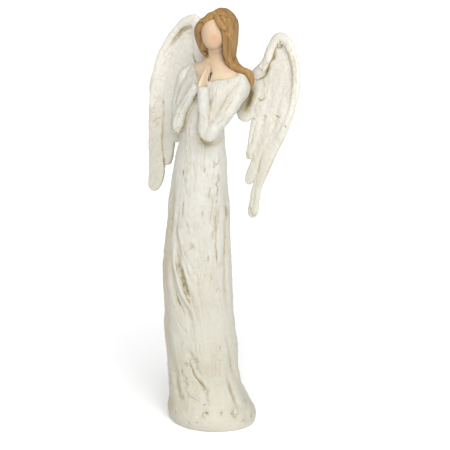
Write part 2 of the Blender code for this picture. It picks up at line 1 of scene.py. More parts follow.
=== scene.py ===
"""Looks of the praying angel figurine: painted castings, carved finer than the solid that they stand for.

+X is the figure's left, she faces -Y, +Z is up, and the origin is the middle of the flat underside.
Sizes are in millimetres; MM turns them into metres where a mesh is made. A table of sizes holds the
stations of a smooth curve, in order along the form.
"""

import math

import bmesh
import bpy
import numpy as np
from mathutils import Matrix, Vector
from mathutils.bvhtree import BVHTree

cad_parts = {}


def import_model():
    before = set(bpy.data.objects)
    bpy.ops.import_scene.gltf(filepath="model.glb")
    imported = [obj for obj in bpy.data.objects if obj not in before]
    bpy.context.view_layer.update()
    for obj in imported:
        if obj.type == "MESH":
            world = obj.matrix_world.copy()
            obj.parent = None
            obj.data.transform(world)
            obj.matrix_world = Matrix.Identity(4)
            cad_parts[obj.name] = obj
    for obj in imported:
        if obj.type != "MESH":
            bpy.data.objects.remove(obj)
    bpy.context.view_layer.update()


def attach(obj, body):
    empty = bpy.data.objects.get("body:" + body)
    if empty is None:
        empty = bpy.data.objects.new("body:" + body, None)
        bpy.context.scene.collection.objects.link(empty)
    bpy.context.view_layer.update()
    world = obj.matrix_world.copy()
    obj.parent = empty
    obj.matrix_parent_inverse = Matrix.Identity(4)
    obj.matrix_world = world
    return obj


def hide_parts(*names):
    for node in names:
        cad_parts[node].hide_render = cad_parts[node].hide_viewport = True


MM = 0.001
LIMB_STEP = 0.7  # spacing of the rings along a limb
FEWEST_RINGS = 6
TIP = 0.02  # how far inside a limb's rounded end its last ring is taken to lie
LIMB_SIDES = 36  # points round a plain limb
FINE_SIDES = 44  # points round a sleeve or a feather

# Gown and torso: height, centre x, centre y, half width, half depth of an oval ring.
GOWN = (
    (-3, 0, 0, 39, 39), (0, 0, 0, 40.4, 40.4), (3, 0, 0, 41.7, 41.7), (8, -0.4, 0, 41.9, 41.9),
    (13, -1.2, -0.2, 41, 41), (19, -2.5, -0.8, 38.6, 38.6), (25, -4, -1.5, 36.8, 36.6),
    (38, -6.3, -3, 35, 34.8), (56, -7.2, -4.7, 34.2, 33.4), (75, -6.9, -6.8, 34.7, 33.2),
    (93, -7.9, -8.7, 34.6, 32), (112, -7.8, -10, 33.6, 30.6), (130, -7.9, -11, 33.7, 30.7),
    (148, -8.3, -12.2, 33.5, 30.2), (166, -8, -12.4, 32.5, 29.3), (184, -7.5, -12.3, 31.2, 28),
    (202, -6.6, -11.7, 29.9, 26.8), (219, -6.5, -11, 29.4, 25.6), (234, -6.3, -10, 27.6, 23.6),
    (247, -6, -9, 26.4, 22.6), (261, -5.7, -8.2, 24.3, 20.6), (275, -5, -7.2, 22, 18.3),
    (290, -5, -6.8, 21, 18), (305, -2.8, -4.6, 24, 18.7), (318, 0, -1.2, 28.4, 18.1),
    (327, 0.8, 0.8, 30.2, 16.6), (334, 1.4, 2.6, 30.8, 14.6), (339, 1.8, 4, 29.4, 12.7),
    (343, 1, 5, 24.6, 11.3), (346, 0.4, 5.6, 17.6, 10.2),
)
# The edge of the bodice: turn from the front towards her left, height.
NECKLINE = (
    (-180, 342), (-90, 342.6), (-52, 342.4), (-34, 339.6), (-20, 334.6), (-4, 333), (14, 334.8), (45, 338),
    (75, 340.6), (110, 342), (180, 342),
)
# Chest, shoulders and neck, in the same columns as the gown.
SKIN = (
    (298, -2, -4, 12, 9), (318, 0, -1, 26, 15.6), (327, 0.8, 1, 29.4, 15.6), (334, 1.4, 2.8, 30, 13.6),
    (339, 1.8, 4, 28.6, 11.8), (343, 1, 5, 23.8, 10.4), (346, 0.4, 5.6, 16.6, 9.4), (349, 0.2, 6, 12, 8.8),
    (352, 0.2, 6.4, 9.4, 8.2), (356, 0.5, 6.6, 8.2, 7.8), (362, 0.9, 6.4, 8, 7.6), (370, 1.2, 6, 8.2, 7.6),
)
# Folds of the gown: path, as a turn in degrees from the front towards her left and a height for each point;
# then depth and breadth. A negative depth is a ridge.
FOLDS = (
    ((-8, 184, -3, 170, 5, 155, 12, 146, 24, 126), 2.4, 2.5), ((-6, 150, 1, 139, 16, 120, 25, 98), 2, 2.5),
    ((-14, 196, -10, 176, 3, 150, 14, 134, 24, 118), -1.6, 2.6),
    ((2, 190, 7, 168, 16, 148, 28, 134), -1, 3), ((14, 82, 20, 72, 27, 59, 37, 41), 2.3, 2.4),
    ((76, 56, 81, 42, 84, 28, 86, 14), 2.2, 2.4), ((80, 96, 90, 72, 100, 48), 1.6, 2.8),
    ((-16, 64, -12, 42, -9, 22), 2, 3.2), ((102, 225, 96, 189, 88, 147, 82, 120), 1, 4),
    ((112, 176, 114, 110), 0.9, 3.5), ((-10, 218, -12, 180), 1, 4),
    ((-34, 200, -30, 120, -40, 60), 1.4, 4.5), ((-62, 215, -58, 130, -66, 40), 1.6, 5),
    ((135, 230, 142, 130, 136, 40), 1.5, 5), ((165, 250, 160, 150, 166, 50), 1.4, 5),
    ((195, 240, 200, 140, 192, 45), 1.6, 5), ((232, 235, 226, 140, 236, 45), 1.5, 5),
    ((264, 220, 270, 120, 262, 45), 1.4, 5), ((126, -14, 126, 10, 125, 20, 124, 44), 5, 12),
)
# Small dents above the hem: turn, height, depth.
HEM_DENTS = (
    (30, 19, 1.6), (54, 17, 1.3), (68, 15, 1.3), (-14, 15, 1.2), (96, 16, 1.4), (150, 15, 1.2),
    (230, 16, 1.2),
)
DENT_REACH = (4.0, 3.0)  # along the hem and up
FOLD_FADE = (3.0, 12.0)  # heights between which the folds grow to their full depth
# The train: turn of its middle, half width in degrees, how far it stands out, height over which it fades.
TRAIN = (84.0, 30.0, 4.6, 8.0)
MM_PER_DEGREE = math.radians(33.0)  # along the gown's surface

# Sleeves: x, y, z, half width, half thickness. Her right arm is a little lower and thinner.
UPPER_ARM = (
    (20, 9.4, 336.4, 3.5, 3.5), (26, 8.2, 337.2, 6.6, 6.6), (29.6, 5.5, 330.8, 8.2, 8.2),
    (28.8, -2, 321, 8.2, 8.2), (25.8, -11, 310, 7.6, 7.6), (21.8, -19.5, 299.4, 6.6, 6.6),
    (17.8, -25.6, 290.2, 6.2, 6.2), (15, -28.2, 283.2, 6.2, 6.2),
)
FOREARM = (
    (12.6, -27.6, 281.4, 6, 6), (12, -26.8, 288.6, 6.3, 6.3), (10.6, -25, 299, 5.9, 5.9),
    (8.2, -22.6, 313, 5.5, 5.5), (5.4, -19.4, 332, 5, 5),
)
ARM_ENDS = (1.0, 0.35)  # the cuff is blunter than the elbow
FAR_UPPER_ARM = (
    (-16, 6, 339, 3.5, 3.5), (-21.6, 4, 338.4, 6, 6), (-26.8, 2.4, 333, 8.4, 8.4),
    (-27.8, -2.6, 323, 9.2, 9.2), (-26, -10, 311.5, 8.4, 8.4), (-23.6, -17.4, 301.5, 7.4, 7.4),
    (-20.4, -24.4, 291, 6.4, 6.4), (-19, -27.2, 286, 5.8, 5.8),
)
FAR_FOREARM = (
    (-19.4, -28, 284.2, 5.4, 5.4), (-19.2, -27.4, 291, 5.8, 5.8), (-17.4, -25, 301.5, 5.2, 5.2),
    (-11, -21.8, 316, 4.9, 4.7), (-5.4, -20.4, 325, 4.7, 4.6), (-1.6, -18.8, 332, 4.4, 4.6),
)
# Cloth of the bodice that fills the bend of each arm, in the same columns.
ARM_FILL = (
    (18.4, -4, 334, 6, 5), (18.4, -9.4, 322, 7.2, 6), (17.4, -15.2, 310, 7.2, 6.2),
    (16, -20.2, 299, 6, 5.8), (14.6, -24, 290, 4.8, 5.2),
)
FAR_ARM_FILL = (
    (-13, -4, 334, 6, 6), (-18.6, -6.6, 326, 7.8, 7.2), (-20.4, -12.6, 314, 7.4, 6.8),
    (-20.4, -18.6, 303, 6, 6),
)
FRONT_LEFT = (0.59, -0.81, 0)

# Hands: her right one is the left one mirrored and set a little behind it.
HAND = (
    (3.6, -20.6, 328, 5, 2), (3.3, -18.4, 333.6, 5.4, 2.1), (3.2, -15.4, 339.2, 4.8, 1.9),
    (3.2, -12.2, 344.4, 3.7, 1.7), (3.2, -9.4, 348.4, 2.2, 1.4), (3.2, -8.2, 350, 1.2, 1.1),
)
THUMB = (
    (4.6, -13.6, 331, 1.5, 1.6), (4.6, -11.6, 338, 1.5, 1.6), (4.3, -9.4, 344.5, 1.2, 1.3),
    (4, -7.8, 348.6, 0.8, 0.9),
)
HANDS_MEET = 1.4  # x of the plane where the palms touch
FAR_HAND_SHIFT = (1.2, 2.4, -1.2)

# Head: an egg with no features, turned a little to her left.
HEAD = (0.9, 3.2, 376.0)
HEAD_HALF = (11.2, 12.2, 16.2)
HEAD_TURN = 22.0
JAW = 0.04  # how much fuller the jaw is than an egg's
JAW_RANGE = (0.1, 0.8)  # share of the half height below the middle where the jaw begins and is fullest

# Hair: the mass behind and over the head, then the locks, with x, y, z, half width, half thickness.
HOOD_CENTRE = (2.2, 14.4, 378.8)
HOOD_HALF = (14.9, 14.6, 18.1)
LOCK_FACING = (1.0, 1.0, 0.6)  # a lock faces away from the hood's centre, and less so up and down
SHOULDER_LOCK = (
    (12, 6.6, 391, 4.6, 3), (15.6, 6.4, 380, 5.4, 4), (16.4, 6.4, 368, 5, 4.2), (15.6, 6.4, 358, 4.2, 4),
    (16.4, 6.2, 350.6, 4.4, 3.8), (22, 6.6, 346.2, 4.4, 3.6), (28.8, 7.4, 344.6, 3.9, 3.4),
    (34.8, 8.8, 343, 3.5, 3), (37.4, 10.2, 336.6, 2.9, 2.7), (37, 10.8, 330.2, 2.2, 2.2),
)
BANG = (
    (4.6, 2.6, 396.6, 1.4, 1.2), (7.4, -1, 392.8, 2.6, 1.8), (11.2, -2.6, 388.4, 3.2, 2.2),
    (14.8, -2.2, 384.4, 2.6, 2), (18, -0.8, 381.4, 0.9, 1.2),
)
CHEEK_LOCK = (
    (9.4, 2.4, 393.4, 3.6, 2.2), (12.6, 1.4, 386, 4.4, 2.6), (14.8, 2.4, 376, 4, 2.6),
    (15.2, 3, 366, 3.8, 2.6), (15.8, 3.6, 356, 3.4, 2.6), (20.4, 5, 349, 2.6, 2.2),
)
FAR_LOCK = (
    (5.6, 1.6, 395.8, 3.4, 2.4), (-2.2, -2.4, 389.6, 3.8, 3), (-8.8, -2.8, 383.2, 5, 3.6),
    (-13.2, -1.6, 376.4, 5.8, 4), (-12.8, 0, 369, 5.4, 4.2), (-9.8, 0.6, 362.6, 5, 4.4),
    (-7.2, 0.8, 358, 4.2, 4), (-4.6, 0, 355.8, 3, 3), (-2.4, -0.4, 357.8, 2.4, 2.4),
)
# Hair that joins the parting to the hood, and the lock that covers the temple on her right.
PARTING = (
    (5.6, 1, 392.6, 4.6, 3.8), (5.4, 5, 392.8, 7, 4.4), (4.4, 10, 391.8, 7, 4.4), (3.4, 14, 389.6, 5, 3.4),
)
TEMPLE_LOCK = (
    (1, 3.6, 391.8, 4, 3.2), (-5, 3.6, 388.8, 5.2, 3.8), (-9, 5.6, 383.6, 6.2, 3.4),
    (-10.8, 6, 374, 6.8, 3.6), (-10.4, 7, 364, 6.2, 3.4), (-8.6, 8.4, 355, 4.6, 3),
    (-7.6, 9.6, 348, 2.4, 2.2),
)
BACK_LOCKS = (
    (
        (6.4, 16, 392, 3.4, 2.4), (8.2, 21.4, 386.4, 5.8, 3.8), (9, 21.8, 370, 6.6, 4.5),
        (8.2, 19, 352, 5.6, 5), (13, 19.5, 338, 4.6, 4), (17.5, 20, 328, 2.4, 2.4),
    ),
    (
        (1.6, 19, 392.6, 4, 2.4), (1, 24.8, 386, 6.8, 3.6), (0, 26.5, 372, 8, 4.5), (1, 22, 352, 7.5, 5),
        (3, 20, 335, 5.6, 4), (7, 18.5, 320, 2.2, 2.2),
    ),
    (
        (-5.4, 14.6, 390.6, 3.4, 2.4), (-8.2, 19.4, 384, 6, 3.6), (-9.5, 20.5, 372, 7, 4.5),
        (-6.5, 19, 354, 6, 5), (-5, 18, 340, 4.4, 4), (-5, 17.5, 328, 2.2, 2.2),
    ),
    (
        (11, 14, 386, 5, 4), (12.4, 14, 370, 5.2, 4.5), (12.2, 13, 356, 4.6, 4.6),
        (17.6, 12.5, 347, 4.4, 4), (27, 13, 342, 2.8, 2.6),
    ),
)

# Wings lie on a leaning plane: y = WING_Y + WING_LEAN * (z - WING_Z), bent back above WING_BEND_Z and
# cupped forward at the outer edge.
WING_Y = 25.6
WING_Z = 342.0
WING_LEAN = 0.33
WING_BEND_Z = 310.0
WING_BEND = 0.08
WING_CUP = 3.0
CUP_FROM, CUP_WIDTH = 45.0, 37.0  # where the cup begins, from the middle, and the width that it takes up
# Long blades: x, z, half width, half thickness, set forward of the plane. Her left wing is the slimmer.
FEATHERS = (
    (
        (73.2, 322, 9.4, 2, -0.6), (72, 305, 8.5, 2.2, -0.6), (65.2, 280, 7.1, 2.2, -0.4),
        (60.2, 262, 6.2, 2.2, -0.2), (57, 245, 5.1, 2.2, 0), (56.7, 232, 5.2, 2.1, 0),
        (57.4, 222, 5.2, 2, 0), (57.8, 216.6, 4.2, 1.8, 0),
    ),
    (
        (60, 322, 8.6, 2, 0.4), (57.4, 303, 8.6, 2.3, 0.6), (52, 280, 7, 2.2, 0.8),
        (50.2, 262, 4.8, 2.1, 1), (47.6, 250, 4.9, 2, 1), (47, 244.2, 3.2, 1.7, 1),
    ),
    (
        (47.5, 322, 7.2, 2, 1.2), (45.2, 303, 7.6, 2.3, 1.4), (44.4, 285, 5.8, 2.2, 1.6),
        (43.2, 272, 4.1, 2, 1.8), (42.8, 265.4, 3.2, 1.7, 1.8),
    ),
)
FAR_FEATHERS = (
    (
        (71.2, 322, 8.9, 2, -0.6), (70.4, 305, 9, 2.2, -0.6), (67, 280, 8.9, 2.2, -0.4),
        (62.8, 262, 9, 2.2, -0.2), (57.7, 245, 9.4, 2.2, 0), (55.9, 232, 8.9, 2.1, 0),
        (56.8, 222, 6.2, 2, 0), (57.2, 219, 4.6, 1.8, 0),
    ),
    (
        (60, 322, 8.6, 2, 0.4), (57.4, 303, 8.6, 2.3, 0.6), (52.6, 280, 8.4, 2.2, 0.8),
        (48.5, 262, 7.5, 2.1, 1), (46.2, 250, 6, 2, 1), (45.2, 244.2, 4.2, 1.7, 1),
    ),
    (
        (47.5, 322, 7.2, 2, 1.2), (45, 303, 7.8, 2.3, 1.4), (42, 285, 8.2, 2.2, 1.6),
        (40.2, 272, 7.6, 2, 1.8), (39.4, 265.6, 5.6, 1.7, 1.8),
    ),
)
# The blade next to the body, and the coverts that overlap the blades' upper ends.
INNER_FEATHER = (
    (35, 334, 9, 2.4, 1), (33, 318, 10.6, 2.8, 1.4), (30.6, 306, 10, 2.8, 1.8), (29.4, 296, 7.4, 2.4, 2),
)
COVERTS = (
    (
        (68.5, 346, 6, 1.6, 0), (72.5, 325, 8.4, 2, 0.4), (72.6, 309, 8.4, 1.9, 0.7),
        (71.6, 301, 6.6, 1.6, 0.8),
    ),
    (
        (58, 346, 6, 1.6, 0.2), (59.4, 326, 8.6, 2.2, 0.8), (58, 308, 8.2, 2, 1.3),
        (57.4, 300, 6.2, 1.7, 1.5),
    ),
    (
        (50, 346, 5, 1.6, 0.4), (47.6, 328, 8, 2.2, 1.1), (45.6, 308, 7, 2, 1.9),
        (45.4, 301, 4.8, 1.6, 2.2),
    ),
    (
        (41, 336, 5, 1.8, 1), (38, 322, 6.6, 2.2, 1.8), (36, 312, 5.4, 2, 2.3),
    ),
)
# The field between the blades and the rim, and the thick leading edge of each wing.
FIELD = (
    (50.5, 370, 8, 1.8, -0.4), (54.5, 355, 15.5, 1.9, 0.2), (56.3, 340, 21.6, 2, 0.7),
    (56.5, 322, 23, 2, 0.8), (56, 306, 21.5, 2, 0.6), (56, 296, 16, 1.8, -0.2),
)
RIM = (
    (25, 330, 5, 5, 0.6), (33, 338, 5.4, 4.8, 1.2), (41.4, 348.4, 5.6, 4.6, 1.8), (43.8, 361, 5.4, 4.4, 2),
    (48.8, 370.6, 5.6, 4.2, 2), (57.6, 368.8, 4.8, 3.8, 1.8), (65.6, 360.4, 4.3, 3.4, 1.6),
    (73.2, 349.6, 4.2, 3.1, 1.4), (77.4, 337.2, 4, 2.8, 1.2), (79.3, 322, 3.6, 2.4, 1),
    (77.2, 306, 3, 2, 0.8), (70.2, 288, 2.4, 1.8, 0.5),
)
FAR_RIM = (
    (22, 331, 5, 5, 0.6), (29, 339, 5.4, 4.8, 1.2), (35.6, 349.4, 5.6, 4.6, 1.8), (40, 362.2, 5.4, 4.4, 2),
    (47.2, 372.4, 5.6, 4.2, 2), (57.2, 369.6, 4.8, 3.8, 1.8), (64.4, 361.2, 4.3, 3.4, 1.6),
    (70.8, 349.8, 4.2, 3.1, 1.4), (75.4, 337.2, 4, 2.8, 1.2), (77, 322, 3.6, 2.4, 1), (76, 306, 3, 2, 0.8),
    (73.2, 288, 2.4, 1.8, 0.5),
)
# The root, across her back: x, y, z, half width, half thickness.
WING_ROOT = (
    (4, 13, 321, 12, 5.5), (16, 16.8, 323, 14, 5), (28, 20, 325, 13.5, 4), (38, 22.4, 329, 11, 2.6),
    (47, 24, 333, 7, 1.6),
)

# Soft forms on the side that the camera sees, for each form that carries them: path as the camera sees it,
# two numbers a point, right of and above the middle of the base; then depth, breadth and darkening, which
# is tan wash and, on the rows so marked, painted shade. A crest has a negative depth.
RELIEF = {
    "gown": (
        # Crests and valleys of the left folds
        ((-38, 154, -36, 142.5, -32.5, 128, -29, 115.5, -24, 106, -21, 99.5), -1.5, 1.1, 0),
        ((-35.5, 161.5, -32.5, 145.5, -29.5, 131, -26, 118.5, -22.5, 109), 0.8, 1.9, 0.1),
        ((-30.5, 157, -27, 139.5, -23, 126, -19, 112.5), -0.8, 1.8, 0),
        ((-40.5, 157, -38.5, 136, -35, 113.5, -30, 102, -25, 91.5), 1.5, 1.4, 0.45),
        ((-42.5, 145.5, -41, 126, -37.5, 109, -32.5, 95.5), -1, 1.6, 0),
        ((-32.5, 178, -29.5, 161.5, -25, 145.5, -21, 133), -1, 1.4, 0),
        ((-35.5, 184, -34, 168.5, -31.5, 157, -28, 143.5), 1.4, 1.8, 0.3),
        ((-37, 226, -38.5, 205, -39.5, 185.5, -40.5, 166.5), 1.5, 2.2, 0.3),
        ((-33.5, 218.5, -34.5, 200, -35.5, 181), -0.9, 1.8, 0),
        # Flute beside the right edge
        ((14, 224, 14.5, 205, 14.5, 190.5, 14, 171.5, 13, 147.5, 13.5, 118.5, 15.5, 94.5), 1.5, 1.7, 0.35),
        ((17, 205, 18, 176, 17.5, 147.5, 18.5, 118.5), -0.8, 1.5, 0),
        # Folds above the hem
        ((-42.5, 85, -40.5, 63, -37, 43.5, -32.5, 20.5, -30.5, 8), 0.8, 1.9, 0.3),
        ((-38.5, 80, -34, 53.5, -29.5, 30, -27, 15), -0.9, 1.8, 0),
        ((-22, 54, -19, 41.5, -16.5, 36, -12.5, 31, -8.5, 25.5, -6, 19.5), 1, 1.3, 0.2),
        ((-18, 53.5, -15.5, 41, -10.5, 34, -6, 26.5), -0.8, 1.3, 0),
        ((15.5, 29.5, 19, 19.5, 23, 10, 25.5, 2.5), 0.6, 1.3, 0.15),
        ((12.5, 28.5, 16.5, 17, 19, 8), -0.8, 1.4, 0),
        ((16, 61, 19, 45.5, 23, 35, 28, 24.5), 0.8, 1.5, 0.2),
        ((19, 59, 23, 43.5, 28, 32, 34.5, 18), -0.8, 1.6, 0),
        # Pools of thin wash on the gown; the bands down its left and right edges and at the left of the
        # base are painted shade with some wash
        ((-15.5, 133, -12.5, 116.5, -6, 97.5), 0.1, 5, 0.3), ((-21, 163.5, -19, 157), 0.1, 3, 0.3),
        ((-5, 47.5, -5, 32), 0.2, 8, 0.2),
        ((-42, 205, -44, 166.5, -46, 128, -45, 89.5, -42, 51.5), 0, 4.5, 0.6),
        ((15.5, 238.5, 18, 205, 19, 166.5, 21, 118.5, 25, 80), 0, 1.8, 0.4),
        ((-39.5, 18.5, -38.5, 1.5), 0.1, 4.5, 0.6), ((-7.5, 45.5, -1, 32), 0, 8, 0.22),
        ((12.5, 6, 20, 5.5), 0, 4, 0.2), ((-43, 30, -42.5, 13, -39.5, 0.5), 0.1, 3, 0.4),
        ((-27, 137.5, -22, 116.5, -18, 101), 0.1, 3.5, 0.2),
        ((-34.5, 65.5, -30.5, 40, -27, 20.5), 0.1, 4, 0.3),
        ((-38.5, 205, -41.5, 166.5, -43, 128), 0, 4, 0.22), ((-11.5, 28.5, -15.5, 17), 0.1, 5, 0.2),
        ((9.5, -0.5, 19, -2.5), 0, 4, 0.15),
        # Bodice and the hollows under the arms, first the painted shadow with wash under her left elbow
        ((-12.5, 265.5, -9, 260, -5, 257.5, 1, 257.5), 0.3, 2, 1.3),
        ((-3, 257, 4, 258.5, 11.5, 264.5), 0.1, 1.8, 0.7),
        ((-13.5, 302.5, -18, 295, -22, 287.5, -25.5, 279.5, -28.5, 272), 0.4, 1.4, 0.5),
        ((-23, 320, -25, 310.5, -28, 297), 0.15, 3, 0.35), ((8.5, 308.5, 4, 293, 1, 278), 0.2, 2.6, 0.35),
        ((16.5, 310.5, 10.5, 297), 0.2, 2.2, 0.3),
    ),
    "near_wing": (
        # Painted shadow with wash where the wing's root meets her left arm
        ((38.5, 318, 37, 305.5, 34, 296, 29.5, 286.5), 0.4, 4.6, 1.4),
        ((37.5, 311.5, 36.5, 302, 34, 293), 0.2, 2.6, 0.6),
        ((67, 353.5, 73, 346, 76, 337.5, 77, 325, 77, 308.5), 0, 1.8, 0.5),
        # Painted shade with tan wash down the wing's lower outer edge
        ((73, 272, 68, 261.5, 61.5, 248, 54.5, 234.5, 50, 220, 47.5, 200), 0, 1.2, 0.7),
        ((60.5, 281.5, 53.5, 257.5, 48, 238.5, 42, 214.5), 0, 7, 0.15),
        ((65, 355.5, 61.5, 350, 59.5, 342, 56.5, 336.5, 54.5, 331.5, 51.5, 326,
         48.5, 322, 42, 319.5), 1.1, 1.3, 0.6),
        ((66.5, 356, 65.5, 353), -0.6, 1.1, 0), ((53, 341, 49, 333.5, 44, 327.5), 0.3, 1.6, 0.2),
        ((66, 355.5, 72, 354.5, 76.5, 347, 79, 333.5, 80.5, 316, 78.5, 296,
         74, 277, 66, 256.5), 0.5, 1.5, 0.2),
        # Painted shade along the wing's outer edge
        ((77.5, 371, 83.5, 353.5, 86.5, 331.5, 84.5, 305.5, 78.5, 283.5), 0, 1.6, 0.25),
        ((57.5, 281.5, 53, 262.5, 48, 243, 44, 224), -0.4, 2.5, 0),
        ((50, 277, 45, 257.5, 42, 243), 0.4, 1.8, 0.15), ((33.5, 250, 36.5, 245), 0, 2.5, 0.3),
    ),
    "far_wing": (
        ((-54.5, 301, -56.5, 272, -57.5, 243), 0, 9, 0.2),
        ((-39.5, 279.5, -37.5, 270, -32.5, 266, -28, 267), 0.1, 1.6, 0.7),
        ((-18, 371, -24, 369.5, -29, 367, -32.5, 362, -36.5, 357.5, -39.5, 351.5), 1.2, 1.8, 0.6),
        ((-48, 305.5, -47, 297, -47.5, 283.5, -48, 272, -48.5, 257.5, -47, 243), 0.6, 1.3, 0.35),
        ((-54.5, 339, -57.5, 320, -59.5, 301), 0.4, 2, 0.15),
    ),
    "sleeve": (
        ((-27, 324, -29.5, 308.5, -30.5, 293), 0.2, 3, 0.45),
        # Painted shadow with wash under her left elbow
        ((-12, 268, -9.5, 262.5, -6, 259.5, -1, 259, 5, 262.5), 0.2, 1.8, 1.7),
        ((21, 306.5, 14.5, 295, 7.5, 284.5), 0.2, 2.4, 0.35), ((-34.5, 274, -32.5, 271), 0.1, 4, 0.45),
        ((30.5, 308.5, 27, 297, 23, 289.5), 0.1, 2, 0.2),
    ),
    "skin": (
        # Painted shade under the chin, on the neck, beside the locks and on her right shoulder
        ((-3, 349, 2, 345.5, 7.5, 346.5, 11.5, 350), 0.1, 2.4, 0.6), ((-2, 345, -2, 339), 0, 2.2, 0.4),
        ((12.5, 345, 14.5, 337.5, 19, 330.5), 0, 1.6, 0.35), ((-16.5, 329.5, -11.5, 321), 0, 2.5, 0.3),
        ((-8.5, 370, -9, 358.5, -6, 349), 0, 4, 0.22), ((-1, 342, 5, 339, 9.5, 337.5), 0, 5, 0.3),
    ),
    "hair": (
        ((11, 365, 15.5, 359.5, 18.5, 352.5, 21, 345), 0.4, 1.3, 0.35),
        ((3, 385.5, 6.5, 383, 11, 378, 14.5, 371.5), 0.12, 1.4, 0.1),
        ((16.5, 388.5, 22, 381.5, 25, 370, 25, 356.5), 0.35, 1.3, 0.25),
        ((9.5, 389.5, 16.5, 384.5, 20, 375.5, 21.5, 365), 0.35, 1.2, 0.25),
        ((26, 327.5, 32.5, 323, 36.5, 317), 0.3, 1, 0.3), ((-4, 385.5, -9, 379), 0.3, 1.2, 0.3),
        # Rows on her right lock: painted shade beside the face and under the curl at its end
        ((-14, 371, -15, 363, -13.5, 355.5, -10.5, 350), 0.2, 1.8, 0.5),
        ((-11, 372, -11.5, 362, -10, 352.5), 0.3, 1.6, 0.5),
        ((1, 380.5, 4, 373.5, 8.5, 368.5), 0.15, 1.1, 0.5), ((-9.5, 350, -5, 346, -6, 342), 0.2, 2.6, 0.9),
        ((4, 384, 6.5, 378, 11, 372.5, 14, 368.5), -0.5, 1.1, 0),
        ((12.5, 366.5, 17.5, 361.5, 20.5, 355.5, 23.5, 348), -0.5, 1, 0),
        ((11, 364, 14.5, 354.5, 16.5, 345, 18, 338), 0.3, 2.2, 0.5),
        ((18.5, 334.5, 20, 338, 23.5, 344), 0.4, 1.4, 0.5),
    ),
}
